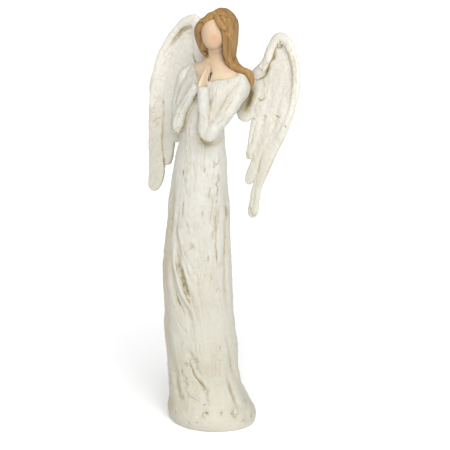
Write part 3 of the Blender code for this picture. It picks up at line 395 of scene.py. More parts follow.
# Thin gouges and paint lines there: path, depth and ink.
STROKES = {
    "gown": (
        # Brush gouges high on the gown
        ((1.5, 242.5, 2.5, 239.5, 4, 238.5, 6, 240.5, 7, 245), 0.3, 0.8),
        ((2.5, 237.5, 2.5, 235.5), 0.5, 1.3), ((3, 235.5, 1.5, 229, 0.5, 222), 0.2, 0.4),
        ((6.5, 230, 5.5, 226, 6, 223.5, 7.5, 226), 0.4, 1.1), ((6, 223.5, 4, 220, 5.5, 217.5), 0.4, 1),
        ((5.5, 217.5, 5, 208.5), 0.6, 1.5), ((0, 215.5, -2, 215.5, -3, 210.5, -3, 205), 0.3, 0.8),
        ((0, 210.5, 1, 206, 0.5, 198, -1, 191.5, -1.5, 181), 0.3, 0.7), ((5, 205, 4.5, 202), 0.5, 1.4),
        ((4.5, 199, 4, 190.5, 3, 181, 2.5, 175), 0.4, 0.9), ((7, 200, 6.5, 188.5, 6, 180), 0.3, 0.6),
        ((1.5, 176, 0, 166.5), 0.3, 0.6), ((5, 184, 4, 174, 3.5, 163.5, 3, 155), 0.4, 0.8),
        ((4.5, 157, 4.5, 146.5), 0.5, 1.4), ((-3.5, 151, -3.5, 145.5), 0.3, 1),
        ((-1, 134, -0.5, 128), 0.3, 0.9), ((4, 117.5, 6, 120, 8, 118, 6.5, 115.5), 0.2, 0.5),
        ((-29, 233.5, -28, 229), 0.5, 1.5), ((-27.5, 228, -26.5, 221), 0.3, 0.6),
        ((-15, 230, -15.5, 224), 0.2, 0.6), ((-6.5, 235.5, -8, 231), 0.5, 0.9),
        ((-27.5, 204, -28, 197, -29, 188.5), 0.4, 0.9), ((-25, 214.5, -24, 207.5), 0.2, 0.5),
        ((-10, 194.5, -9.5, 188.5), 0.3, 0.6), ((-25.5, 184, -23, 178, -22, 172), 0.3, 0.6),
        ((14.5, 199, 15, 188.5), 0.3, 1.2),
        # Lines in the left folds
        ((-27, 117.5, -24, 111, -21.5, 104.5), 0.6, 1.4), ((-32, 143.5, -31.5, 140), 0.3, 1.3),
        ((-30, 137, -29.5, 135), 0.4, 1.3), ((-28, 138.5, -27.5, 136.5), 0.3, 1.1),
        ((-29, 131.5, -28, 128), 0.4, 1.4), ((-26, 130.5, -25.5, 127.5), 0.4, 1.2),
        ((-27.5, 124.5, -26.5, 121.5), 0.4, 1.4), ((-24.5, 124.5, -24, 122), 0.4, 1.1),
        ((-24.5, 118.5, -22.5, 113.5), 0.4, 1.1), ((-29.5, 139.5, -25, 125, -23, 114.5), 0.2, 0.6),
        ((-34.5, 145.5, -33, 136), 0.4, 0.9), ((-30, 139.5, -28, 128, -25.5, 119.5), 0.4, 0.8),
        ((-34.5, 112, -31, 103), 0.5, 1.3), ((-29.5, 163.5, -27, 156, -24, 149), 0.3, 0.6),
        ((-21, 163.5, -18, 160.5), 0.2, 0.6), ((-22, 157, -18, 160), 0.2, 0.6),
        ((-20, 109, -18, 101), 0.3, 0.5), ((-4, 97.5, -1.5, 89.5), 0.2, 0.5),
        ((-33.5, 91.5, -29.5, 83, -24, 76.5), 0.3, 0.4),
        # Lines and pits above the hem
        ((-34, 34, -31.5, 17), 0.2, 0.5), ((-41.5, 40, -40, 27.5), 0.3, 0.6),
        ((-21.5, 51.5, -19, 41.5, -16.5, 36, -12.5, 31, -8.5, 25.5, -6, 19.5), 0.6, 1.2),
        ((-26.5, 47.5, -25, 48.5, -23.5, 47, -25, 45.5, -26, 46), 0.4, 0.9),
        ((-29, 41.5, -28.5, 39), 0.4, 1.2), ((-21, 52.5, -15.5, 51.5, -11.5, 48.5), 0.2, 0.5),
        ((5, 50.5, 8.5, 50.5, 7, 41.5), 0.1, 0.35), ((16, 28.5, 19, 19.5, 23, 10), 0.3, 0.6),
        ((24, 8, 26, 2.5, 25, -2.5), 0.2, 0.5), ((18, 2.5, 19.5, -3, 24, -4.5), 0.4, 0.9),
        ((18, 49.5, 19, 44.5, 20.5, 40), 0.3, 0.8), ((8.5, 65.5, 7.5, 62.5, 8.5, 59), 0.2, 0.9),
        ((-22, 29.5, -25, 22.5, -23, 16), 0.2, 0.5),
        ((-25.5, 21.5, -22, 17, -17.5, 13.5, -13.5, 11.5), 0.3, 0.8),
        ((-26.5, 36, -24.5, 33.5, -26, 31, -24, 28.5, -25.5, 24.5), 0.3, 0.9),
        ((-18, 51, -15.5, 52.5, -13.5, 50, -16.5, 48.5), 0.3, 0.7), ((-8.5, 8, -6.5, 8.5), 0.3, 1),
        ((-3.5, 9, -2.5, 8), 0.3, 1), ((-10.5, -3, -8.5, 0.5, -6, 1, -4, -0.5), 0.4, 1),
        ((22, 6, 20, 2.5, 21, -2, 25, -0.5), 0.3, 0.9), ((-3, 23, -6, 16), 0.3, 0.7),
        ((-6.5, 24.5, -3.5, 18), 0.3, 0.6), ((28.5, -7.5, 31, -6), 0.3, 0.9),
        ((-8, 21.5, -4, 15), 0.2, 0.6), ((-5, 13, -3, 11), 0.2, 1), ((-35, 2.5, -35, 0), 0.6, 1.5),
        ((-6, 1, -5, 0), 0.6, 1.5), ((-9, -3.5, -7.5, -4.5), 0.5, 1.4), ((9.5, 1.5, 9.5, -0.5), 0.6, 1.3),
        ((38.5, 0, 38, -3.5), 0.5, 1.5), ((-23.5, -8, -21.5, -11), 0.5, 1.5),
        ((-15.5, -9, -14.5, -9.5), 0.4, 1.2), ((-27.5, 17, -29, 13), 0.2, 0.9),
        ((30.5, 14, 33.5, 7), 0.2, 0.8),
        # A line on the bodice
        ((-17.5, 334.5, -15.5, 326.5, -13.5, 319), 0.2, 0.7),
    ),
    "near_wing": (
        ((62, 351, 60, 345, 59.5, 340.5, 56.5, 337, 54.5, 332.5, 51.5, 326.5,
         50.5, 324, 43.5, 320, 41.5, 320.5), 0.5, 1.5),
        ((65.5, 357, 65.5, 355), 0.4, 1.5), ((62.5, 354, 64, 351, 66.5, 351.5, 67.5, 354.5), 0.5, 1.6),
        ((53, 335, 54, 336), 0.4, 1.5), ((44.5, 330.5, 47, 329.5, 46.5, 327), 0.3, 0.7),
        ((43.5, 302.5, 46, 300.5, 48.5, 301, 49.5, 302.5), 0.5, 1), ((49.5, 286.5, 52, 284), 0.4, 0.8),
        ((61, 286.5, 63.5, 284, 64.5, 285), 0.5, 1.3), ((38.5, 283, 40.5, 282.5), 0.3, 1),
        ((70, 275.5, 71, 274.5), 0.4, 1.7),
        ((49, 256.5, 45, 238.5, 41.5, 219.5, 40, 205, 38.5, 197), 0.4, 0.3),
        ((42, 279.5, 38.5, 267, 37, 255), 0.4, 0.35),
        ((36.5, 199, 37, 193.5, 39.5, 189.5, 42.5, 192), 0, 0.8),
        ((32.5, 253, 35.5, 244, 39.5, 243), 0, 0.6),
    ),
    "far_wing": (
        ((-19, 371, -24, 369.5, -29, 367, -32.5, 362), 0.3, 0.4), ((-20, 365, -25, 365), 0.4, 0.5),
        ((-45, 341, -40.5, 347), 0.4, 0.3), ((-42, 339, -37.5, 345), 0.4, 0.3),
        ((-49, 333.5, -44, 339), 0.4, 0.3), ((-19, 345, -17, 339, -14.5, 335), 0.5, 1.1),
        ((-47.5, 300, -47, 297.5), 0.4, 1), ((-47, 289.5, -47, 285.5), 0.4, 1),
        ((-48, 279.5, -48.5, 262.5, -47.5, 248), 0.4, 0.6),
        ((-47, 247, -46, 239.5, -45.5, 235.5), 0.5, 1.8), ((-45.5, 235.5, -46, 229, -47.5, 223), 0, 1.2),
        ((-36.5, 259.5, -37, 251, -39, 243, -42, 238.5), 0, 1.1),
        ((-57, 280, -53.5, 283, -49.5, 284), 0.5, 0.5), ((-55.5, 275, -52, 278), 0.4, 0.3),
        ((-59.5, 291, -55.5, 293.5), 0.4, 0.3), ((-21, 276, -22.5, 266.5), 0.3, 0.6),
    ),
    "sleeve": (
        ((-15.5, 304.5, -18, 299, -20.5, 293, -24, 288.5, -25.5, 281.5, -27, 276, -29.5, 272), 0.2, 1.6),
        ((-38.5, 288.5, -39, 278, -37.5, 271, -33.5, 268.5, -30, 269.5), 0, 1),
        ((-30.5, 271, -29.5, 270), 0.2, 2.2), ((-24, 302.5, -29.5, 293, -33, 284.5, -34.5, 278), 0.5, 0.5),
        ((-32, 324, -32.5, 312.5, -35.5, 298, -37.5, 288.5), 0, 0.4),
        # Line of the painted shadow under her left elbow
        ((-13, 270, -11.5, 263.5, -7.5, 259, -3, 257.5, 2, 258), 0.1, 1.7),
        ((-13, 293, -13.5, 278, -13, 270), 0.1, 0.8), ((2, 258, 9.5, 262.5, 17.5, 271, 23, 282.5), 0, 0.6),
        ((-4.5, 289.5, -2.5, 283, 1, 279.5), 0.3, 0.7), ((-2, 312.5, -1.5, 301, -1.5, 289.5), 0, 0.5),
        ((11.5, 289.5, 16.5, 297, 19, 300), 0.5, 0.3), ((3, 276, 9.5, 280.5, 14.5, 288.5), 0.5, 0.25),
        ((-9.5, 285.5, -6, 281.5), 0.4, 0.3),
    ),
    "hair": (
        ((13, 368.5, 14.5, 367.5), 0.2, 0.9), ((-12.5, 375, -9.5, 375, -7.5, 372.5), 0.3, 1.2),
        ((-8.5, 347, -5.5, 347.5, -4.5, 345, -6, 343), 0.5, 1.6),
    ),
    "skin": (
        ((-0.5, 327.5, -2, 324, -3.5, 319), 0.7, 4),
        ((-13.5, 317.5, -10.5, 324, -7.5, 329.5, -3.5, 335), 0.1, 0.5),
    ),
}
STROKE_REACH = 2.5  # how far to the side of a stroke its paint can show
STROKE_WIDTH = 0.9

# The castings of the scene: name, the forms it is fused from, grid cell, smoothing, triangles and how far
# the darkening reaches out of a join with another form: wash on the body, painted shade where a wing meets
# it.
CASTINGS = (
    ("angel_body", ("gown", "sleeve", "skin", "hair"), 0.5, 5, 196000, 0.8),
    ("near_wing", ("near_wing",), 0.45, 10, 110000, 2.6),
    ("far_wing", ("far_wing",), 0.45, 10, 110000, 2.6),
)
WEAR = 0.4  # strength of one round of smoothing
UNCUT_RIM = (0.2, 2.5)  # heights between which the carving grows to its full depth
ON_CUT, SLIVER = 1e-6, 2e-5  # metres: what counts as on the flat cut, and as too short an edge beside it
PLAIN_FROM = -0.1  # a point that turns to the camera less than this is on the plain side
PLAIN_CUT = 0.85  # share of the triangles that the side away from the camera gives up
KIND_EDGE = 0.7  # width over which one paint meets another
ALONE = 99.0  # distance to a second form in a casting that has only one
FARTHEST = 0.02  # metres within which another form is looked for
SIGHT_FADE = (-0.45, 0.05)  # how far a point turns to the camera where its marks begin and are full
CLEARANCE = 2.5  # how far in front of a point its line of sight starts, so that a narrow cleft stays open
FARTHEST_COVER = 0.2  # metres along a line of sight in which another form may hide the point
HOLLOW_ROUNDS, RECESS_ROUNDS = 6, 36  # neighbours over which a fine and a broad hollow are measured
CELL_SHIFT = 100000  # keeps the noise's cells above 0
# Large odd numbers that scatter the noise's cells and seeds, and how many steps its values have.
SCATTER = (73856093, 19349663, 83492791)
STIRS = ((15, 2246822519), (13, 3266489917))
SEED_STEP, FIRST_SEED = 2654435761, 12345
LEVELS = 65535
HEM_LEDGE = 4.0  # height of the thin band under the hem
GRAIN_RADIUS = 33.0  # of the column round which the gown's grain runs
LOCK_RADIUS = 11.0  # of the column round which the hair's grain runs
BLUSH = (2.1, 360.0)  # seen place of the spot on the cheek
BLUSH_RADIUS = 3.6

# Camera, floor and light, in metres. A direction is its azimuth, from the front towards her left, and its
# elevation.
VIEW = (36.0, 20.0)
TARGET = (-0.02627044, 0.05738053, 0.16996773)
DISTANCE = 2.0668788
LENS, SENSOR = 172.32, 36.0  # both in millimetres
NEAREST = 0.05
FLOOR_HALF = 6.0
FLOOR_LEVEL = -0.0002
FLOOR_COLOUR = (0.96, 0.96, 0.96, 1)
WORLD_FRONT, WORLD_BACK = 1.14, 0.1  # light of the brightest and the dimmest wall
BRIGHT_SIDE = (46.0, 25.0)
SUN = 2.1
SUN_ANGLE = 50.0
SUN_FROM = (48.0, 42.0)


def unit(vectors):
    """The vectors at length one."""
    vectors = np.asarray(vectors, float)
    return vectors / np.linalg.norm(vectors, axis=-1, keepdims=True)


def curve(rows, at):
    """Smooth values at the wanted stations. The rows' first column is the station."""
    rows = np.array(rows, float)
    station, value = rows[:, 0], rows[:, 1:]
    slope = np.gradient(value, station, axis=0)
    low = np.clip(np.searchsorted(station, at) - 1, 0, len(station) - 2)
    span = (station[low + 1] - station[low])[:, None]
    t = np.clip((at[:, None] - station[low][:, None]) / span, 0, 1)
    rise = t * t * (3 - 2 * t)
    return (
        value[low] * (1 - rise)
        + value[low + 1] * rise
        + slope[low] * span * t * (1 - t) ** 2
        - slope[low + 1] * span * t * t * (1 - t)
    )


def step(low, high, value):
    """0 below low, 1 above high, smooth between."""
    t = np.clip((value - low) / (high - low), 0, 1)
    return t * t * (3 - 2 * t)


def loft(rings):
    """A closed skin over rings of points, with a fan over each end: points and triangles, facing out."""
    rings = np.asarray(rings, float)
    count, sides, _ = rings.shape
    points = np.vstack([rings.reshape(-1, 3), rings[0].mean(axis=0), rings[-1].mean(axis=0)])
    here = np.arange(count * sides).reshape(count, sides)
    after = np.roll(here, -1, axis=1)
    a, b, c, d = here[:-1], after[:-1], after[1:], here[1:]
    first, last = count * sides, count * sides + 1
    triangles = np.vstack([
        np.stack([a, b, c], axis=-1).reshape(-1, 3),
        np.stack([a, c, d], axis=-1).reshape(-1, 3),
        np.stack([after[0], here[0], np.full(sides, first)], axis=-1),
        np.stack([here[-1], after[-1], np.full(sides, last)], axis=-1),
    ])
    corner = points[triangles]
    volume = np.einsum("ij,ij->i", corner[:, 0], np.cross(corner[:, 1], corner[:, 2])).sum()
    return points, triangles if volume > 0 else triangles[:, ::-1]


def stations(points):
    """How far along a bent line its own points lie, and how far along a limb's rings lie."""
    gaps = np.linalg.norm(np.diff(points, axis=0), axis=1)
    reach = np.concatenate([[0], np.cumsum(gaps)])
    return reach, np.linspace(0, reach[-1], int(reach[-1] / LIMB_STEP) + FEWEST_RINGS)


def limb(rows, facing, sides=LIMB_SIDES, square=2.0, ends=(1.0, 1.0)):
    """A flattened tube with rounded ends. Rows: x, y, z, half width, half thickness.

    The thickness lies along facing. A higher square gives a boxier section, and ends sets how long each
    rounded end is against its width.
    """
    rows = np.array(rows, float)
    reach, at = stations(rows[:, :3])
    path = curve(np.column_stack([reach, rows]), at)
    centre, wide, thick = path[:, :3], path[:, 3], path[:, 4]
    ahead = unit(np.gradient(centre, axis=0))
    facing = np.broadcast_to(facing, centre.shape)
    out = unit(facing - ahead * np.einsum("ij,ij->i", facing, ahead)[:, None])
    side = np.cross(ahead, out)
    cap = np.where(at < at[-1] / 2, wide[0] * ends[0], wide[-1] * ends[1])
    closing = np.sqrt(1 - np.clip(1 - (np.minimum(at, at[-1] - at) + TIP) / cap, 0, 1) ** 2)
    thinning = np.minimum(1, closing * wide / thick)
    turn = np.linspace(0, 2 * math.pi, sides, endpoint=False)
    across, through = (np.sign(c) * np.abs(c) ** (2 / square) for c in (np.cos(turn), np.sin(turn)))
    rings = (
        centre[:, None]
        + side[:, None] * (wide * closing)[:, None, None] * across[None, :, None]
        + out[:, None] * (thick * thinning)[:, None, None] * through[None, :, None]
    )
    return loft(rings)


def mirrored(piece):
    """The piece on her other side."""
    points, triangles = piece
    return points * (-1, 1, 1), triangles[:, ::-1]


def line_distance(places, path):
    """Distance to a bent line, its sign by side, and how far along the nearest point is, from 0 to 1."""
    path = np.reshape(np.array(path, float), (-1, 2))
    away, side, along = (np.full(len(places), value) for value in (1e9, 1.0, 0.0))
    for index, (start, end) in enumerate(zip(path[:-1], path[1:])):
        run, offset = end - start, places - start
        share = np.clip(offset @ run / (run @ run), 0, 1)
        gap = np.linalg.norm(offset - share[:, None] * run, axis=1)
        closer = gap < away
        cross = run[0] * offset[:, 1] - run[1] * offset[:, 0]
        away = np.where(closer, gap, away)
        side = np.where(closer, np.sign(cross), side)
        along = np.where(closer, (index + share) / (len(path) - 1), along)
    return away, side, along


def from_turn(turn, middle):
    """How far a turn lies from another along the gown's surface, for turns in degrees."""
    return ((turn - middle + 180) % 360 - 180) * MM_PER_DEGREE


def tapered(low, high, along):
    """1 in the middle of a line, falling to 0 towards both its ends."""
    return step(low, high, along) * step(low, high, 1 - along)


def fold_depth(turn, height):
    """How far the folds move the gown's surface out, for a turn in degrees and a height at each point.

    A fold fades at its ends.
    """
    out = np.zeros(len(turn))
    for path, depth, breadth in FOLDS:
        middle = path[0]
        run = (np.reshape(path, (-1, 2)) - (middle, 0)) * (MM_PER_DEGREE, 1)
        away, _, along = line_distance(np.stack([from_turn(turn, middle), height], axis=1), run)
        fade = 0.2 + 0.8 * tapered(0, 0.3, along)
        out -= depth * fade * np.exp(-((away / breadth) ** 2))
    for middle, level, depth in HEM_DENTS:
        across, up = from_turn(turn, middle) / DENT_REACH[0], (height - level) / DENT_REACH[1]
        out -= depth * np.exp(-(across**2) - up**2)
    return out


def column(rows, heights):
    """Centre x, centre y, half width and half depth of an oval column, for an array of heights."""
    return curve(rows, heights.ravel()).reshape(heights.shape + (4,))


def oval_rings(rows, heights, turn):
    """Points on an oval column, for arrays of heights and of turns from the front towards her left."""
    values = column(rows, heights)
    angle = np.radians(turn)
    x = values[..., 0] + values[..., 2] * np.sin(angle)
    y = values[..., 1] - values[..., 3] * np.cos(angle)
    return np.stack([x, y, heights], axis=-1)


def gown(spacing=0.7, sides=340):
    """The gown from the hem to the neckline, with its folds."""
    low = GOWN[0][0]
    turn = np.linspace(-180, 180, sides, endpoint=False)
    edge = curve(NECKLINE, turn)[:, 0]
    share = np.linspace(0, 1, int((edge.max() - low) / spacing))[:, None]
    heights = low + share * (edge - low)
    turn = turn + 0 * heights
    rings = oval_rings(GOWN, heights, turn)
    outward = unit(rings[..., :2] - column(GOWN, heights)[..., :2])
    folds = fold_depth(turn.ravel(), heights.ravel()).reshape(heights.shape)
    middle, half, out, top = TRAIN
    train = out * np.exp(-(((turn - middle) / half) ** 2)) * step(top, 0, heights)
    rings[..., :2] += outward * (folds * step(*FOLD_FADE, heights) + train)[..., None]
    return loft(rings)


def bust(count=70, sides=96):
    """Chest, shoulders and neck, under the bodice."""
    turn = np.linspace(-180, 180, sides, endpoint=False)
    heights = np.linspace(SKIN[0][0], SKIN[-1][0], count)[:, None] + 0 * turn
    return loft(oval_rings(SKIN, heights, turn))


def sphere_rings(count, sides=96, pole=0.01):
    """Unit directions of a ball, ring by ring from below. The end rings lie this far from the poles."""
    rise = np.linspace(-0.5 * math.pi + pole, 0.5 * math.pi - pole, count)
    turn = np.linspace(0, 2 * math.pi, sides, endpoint=False)
    across = np.cos(rise)[:, None]
    up = np.sin(rise)[:, None] + 0 * turn
    return np.stack([across * np.sin(turn), -across * np.cos(turn), up], axis=-1)


def head():
    """The smooth egg of the head."""
    ball = sphere_rings(64)
    fuller = 1 + JAW * step(*JAW_RANGE, -ball[..., 2:]) * (1, 1, 0)
    x, y, z = np.moveaxis(ball * HEAD_HALF * fuller, -1, 0)
    sine, cosine = math.sin(math.radians(HEAD_TURN)), math.cos(math.radians(HEAD_TURN))
    return loft(np.stack([x * cosine - y * sine, x * sine + y * cosine, z], axis=-1) + HEAD)


def outward_of(rows):
    """Directions from the head's axis to the stations of a lock, spread along it."""
    places = np.array(rows, float)[:, :3]
    reach, at = stations(places)
    return curve(np.column_stack([reach, unit((places - HOOD_CENTRE) * LOCK_FACING)]), at)


def hair():
    """The mass of hair over the crown and back of the head, and the locks that leave it."""
    locks = [SHOULDER_LOCK, BANG, CHEEK_LOCK, FAR_LOCK, PARTING, TEMPLE_LOCK, *BACK_LOCKS]
    hood = loft(sphere_rings(60) * HOOD_HALF + HOOD_CENTRE)
    return [hood] + [limb(rows, outward_of(rows)) for rows in locks]


def hands():
    """Her left hand with its thumb towards the chest, and the right one, where the palms touch."""
    near = [limb(HAND, (1, 0, 0), square=2.3), limb(THUMB, (1, 0, 0), sides=20)]
    shift = np.array(FAR_HAND_SHIFT) + (2 * HANDS_MEET, 0, 0)
    return near + [(points + shift, triangles) for points, triangles in map(mirrored, near)]


def sleeve(upper, fore):
    """The upper arm and the forearm in their sleeve."""
    forward = (0, -1, 0)
    return [limb(upper, forward, FINE_SIDES), limb(fore, forward, FINE_SIDES, ends=ARM_ENDS)]


def on_wing(rows):
    """Rows of x, z, half width, half thickness, forward offset, set on the wing's plane."""
    x, z, wide, thick, forward = np.array(rows, float).T
    cup = WING_CUP * np.maximum(0, (x - CUP_FROM) / CUP_WIDTH) ** 2
    bend = WING_BEND * np.maximum(0, z - WING_BEND_Z)
    y = WING_Y + WING_LEAN * (z - WING_Z) + bend - cup - forward
    return np.column_stack([x, y, z, wide, thick])


def wing(rim, feathers):
    """A wing on her left side: field, long feathers, coverts, the thick leading edge and the root."""
    forward = (0, -1, WING_LEAN)
    blades = (*feathers, INNER_FEATHER, *COVERTS)
    return [
        limb(on_wing(FIELD), forward, sides=60, square=3.0),
        *(limb(on_wing(rows), forward, FINE_SIDES, square=2.6) for rows in blades),
        limb(on_wing(rim), forward),
        limb(WING_ROOT, (0, -1, 0.2)),
    ]


def all_forms():
    """Every form of the figure as closed shells, grouped by how it is painted and carved."""
    return {
        "gown": [gown()] + [limb(rows, FRONT_LEFT) for rows in (ARM_FILL, FAR_ARM_FILL)],
        "sleeve": sleeve(UPPER_ARM, FOREARM) + sleeve(FAR_UPPER_ARM, FAR_FOREARM),
        "skin": [bust(), head()] + hands(),
        "hair": hair(),
        "near_wing": wing(RIM, FEATHERS),
        "far_wing": [mirrored(piece) for piece in wing(FAR_RIM, FAR_FEATHERS)],
    }


def together(pieces):
    """The points, in metres, and the triangles of several shells in one list each."""
    points, triangles, start = [], [], 0
    for some_points, some_triangles in pieces:
        points += (some_points * MM).tolist()
        triangles += (some_triangles + start).tolist()
        start += len(some_points)
    return points, triangles


def placed(name, data):
    """An object in the scene that holds the data."""
    obj = bpy.data.objects.new(name, data)
    bpy.context.scene.collection.objects.link(obj)
    return obj


def apply_modifiers(obj):
    """Gives the object the mesh that its modifiers make of it."""
    bpy.context.view_layer.update()
    graph = bpy.context.evaluated_depsgraph_get()
    obj.data = bpy.data.meshes.new_from_object(obj.evaluated_get(graph))
    obj.modifiers.clear()


def fused(name, pieces, cell, rounds):
    """An object that holds the shells as one skin, made on a grid with this cell and worn smooth."""
    points, triangles = together(pieces)
    mesh = bpy.data.meshes.new(name)
    mesh.from_pydata(points, [], triangles)
    obj = placed(name, mesh)
    remesh = obj.modifiers.new("One skin", "REMESH")
    remesh.mode = "VOXEL"
    remesh.voxel_size = cell * MM
    smooth = obj.modifiers.new("Worn", "SMOOTH")
    smooth.factor = WEAR
    smooth.iterations = rounds
    apply_modifiers(obj)
    return obj


def cut_flat(obj):
    """Cuts the underside flat at z = 0 and closes it."""
    cut = bmesh.new()
    cut.from_mesh(obj.data)
    geometry = cut.verts[:] + cut.edges[:] + cut.faces[:]
    bmesh.ops.bisect_plane(
        cut, geom=geometry, plane_co=(0, 0, 0), plane_no=(0, 0, 1), clear_inner=True, dist=ON_CUT
    )
    rim = [edge for edge in cut.edges if edge.is_boundary]
    bmesh.ops.contextual_create(cut, geom=rim)
    bmesh.ops.dissolve_degenerate(cut, dist=SLIVER, edges=cut.edges[:])
    bmesh.ops.triangulate(cut, faces=cut.faces[:])
    bmesh.ops.recalc_face_normals(cut, faces=cut.faces[:])
    cut.to_mesh(obj.data)
    cut.free()


def hashed(cells, seed):
    """A fixed scatter of values from 0 to 1, one for each whole-number cell."""
    x, y, z = (cells[..., axis].astype(np.uint64) * np.uint64(odd) for axis, odd in enumerate(SCATTER))
    mixed = x ^ y ^ z ^ np.uint64(seed * SEED_STEP + FIRST_SEED)
    for shift, odd in STIRS:
        mixed = (mixed ^ (mixed >> np.uint64(shift))) * np.uint64(odd)
    return ((mixed >> np.uint64(9)) & np.uint64(LEVELS)) / LEVELS


def noise(points, seed):
    """Smooth value noise from 0 to 1 with cells one unit wide."""
    whole = np.floor(points)
    part = points - whole
    part = part * part * (3 - 2 * part)
    cells = whole.astype(np.int64) + CELL_SHIFT
    total = np.zeros(len(points))
    for corner in np.ndindex(2, 2, 2):
        share = np.prod(np.where(np.array(corner, bool), part, 1 - part), axis=1)
        total += share * hashed(cells + corner, seed)
    return total


def swell(points, cell, seed):
    """Smooth noise from -0.5 to 0.5, whose cells have this size."""
    return noise(points / cell, seed) - 0.5


def veins(points, cell, seed, breadth):
    """1 along thin wandering lines of the noise, falling to 0 beside them."""
    return np.exp(-((swell(points, cell, seed) / breadth) ** 2))


def direction(azimuth, elevation):
    """Unit direction from the figure, for angles in degrees."""
    turn, rise = math.radians(azimuth), math.radians(elevation)
    return Vector((math.sin(turn) * math.cos(rise), -math.cos(turn) * math.cos(rise), math.sin(rise)))


def view_axes():
    """The camera's right, up and back directions."""
    back = np.array(direction(*VIEW))
    right = np.cross((0, 0, 1), back)
    right /= np.linalg.norm(right)
    return right, np.cross(back, right), back


def seen(points):
    """How far right of and above the middle of the base the camera sees each point, in millimetres."""
    right, up, back = view_axes()
    target = np.array(TARGET) / MM

    def flat(where):
        nearer = DISTANCE / MM / (DISTANCE / MM - (where - target) @ back)
        return np.stack([(where - target) @ right * nearer, (where - target) @ up * nearer], axis=-1)

    return flat(points) - flat(np.zeros(3))


def near_line(places, path, reach):
    """Which of the places lie within reach of the line's box."""
    path = np.reshape(path, (-1, 2))
    return np.all((places > path.min(axis=0) - reach) & (places < path.max(axis=0) + reach), axis=1)


def read(items, name, width, kind):
    """One row of numbers for each item of a mesh."""
    flat = np.empty(len(items) * width, kind)
    items.foreach_get(name, flat)
    return flat.reshape(-1, width)


def positions(mesh):
    """The mesh's points, in millimetres."""
    return read(mesh.vertices, "co", 3, np.float32).astype(float) / MM


def normals(mesh):
    """The mesh's outward directions at its points."""
    return read(mesh.vertex_normals, "vector", 3, np.float32).astype(float)


def in_sight(mesh, points, outward):
    """How much each point turns to the camera: 0 where it faces away or the same casting hides it."""
    back = view_axes()[2]
    facing = step(*SIGHT_FADE, outward @ back)
    corners = read(mesh.loops, "vertex_index", 1, np.int32).reshape(len(mesh.polygons), -1)
    search = BVHTree.FromPolygons((points * MM).tolist(), corners.tolist())
    starts = (points + CLEARANCE * back) * MM
    sight = np.array(TARGET) + back * DISTANCE - starts
    for index in np.flatnonzero(facing > 0):
        if search.ray_cast(starts[index], sight[index], FARTHEST_COVER)[0] is not None:
            facing[index] = 0
    return facing


def traced(points, facing, share):
    """The marks that show on the side that the camera sees: depth, wash and painted shade, distance to a
    stroke and its ink.
    """
    depth, wash, ink = np.zeros((3, len(points)))
    stroke = np.full(len(points), STROKE_REACH)
    places = seen(points)
    wobble = 1.1 * swell(points, 2.6, 71)
    for kind, rows in RELIEF.items():
        for path, cut, breadth, darkening in rows:
            held = near_line(places, path, 3 * breadth) & (share[kind] > 0)
            away, _, along = line_distance(places[held], path)
            ends = tapered(-0.06, 0.25, along)
            rise = ends * np.exp(-((away / breadth) ** 2)) * facing[held] * share[kind][held]
            depth[held] += cut * rise
            wash[held] += darkening * rise
    for kind, rows in STROKES.items():
        marked = (share[kind] > 0.05) & (facing > 0)
        for path, cut, darkening in rows:
            held = np.flatnonzero(near_line(places, path, STROKE_REACH) & marked)
            bend = 0 if kind in ("skin", "hair") else wobble[held, None]
            away, side, along = line_distance(places[held] + bend, path)
            ends = tapered(-0.15, 0.2, along) * facing[held] * share[kind][held]
            depth[held] += cut * ends * np.exp(-((away / STROKE_WIDTH) ** 2))
            better = away < np.abs(stroke[held])
            chosen = held[better]
            stroke[chosen] = (away * side)[better]
            ink[chosen] = (darkening * ends * step(STROKE_REACH, 1.4, away))[better]
    return depth, wash, stroke, ink


def gown_carving(points):
    """Depth in millimetres and wash of the gown's brushed grain, gouges and chips."""
    height = points[:, 2]
    centre = column(GOWN, height)
    turn = np.degrees(np.arctan2(points[:, 0] - centre[:, 0], centre[:, 1] - points[:, 1]))
    sweep = np.exp(-(((turn - 5) / 42) ** 2)) * 0.5 * np.clip(190 - height, 0, 105)
    bent = np.radians(turn - sweep)
    grain = np.stack([GRAIN_RADIUS * np.sin(bent), GRAIN_RADIUS * np.cos(bent), height], axis=1)
    patch = step(0.45, 0.65, noise(grain / (20, 20, 55), 11))
    upper = step(20, 110, height)
    gouge = veins(grain, (4.2, 4.2, 30), 21, 0.05) * patch * upper
    chips = veins(grain, (2.6, 2.6, 8), 23, 0.06) * step(0.58, 0.72, noise(grain / (12, 12, 26), 24))
    depth = 0.4 * gouge + 0.25 * chips + 1.2 * swell(grain, (8, 8, 50), 31)
    depth += (0.3 + 0.5 * upper) * swell(grain, (3.6, 3.6, 20), 33)
    depth += 0.7 * swell(points, 7.5, 35) + 0.4 * swell(points, 2.4, 36)
    hem = np.exp(-(((height - HEM_LEDGE) / 0.8) ** 2))
    low = step(9, 2, height)
    return depth * (1 - 0.7 * low) + 0.25 * hem, 0.35 * gouge + 0.45 * chips + 0.2 * hem


def sleeve_carving(points):
    """Depth and wash of the sleeves' soft creases."""
    crease = veins(points, (4.5, 3.5, 7), 53, 0.05) * step(0.45, 0.65, noise(points / 16, 54))
    soft, fine = swell(points, (6, 6, 9), 51), swell(points, 2.4, 52)
    return 1.2 * soft + 0.4 * fine + 0.5 * crease, 0.5 * crease


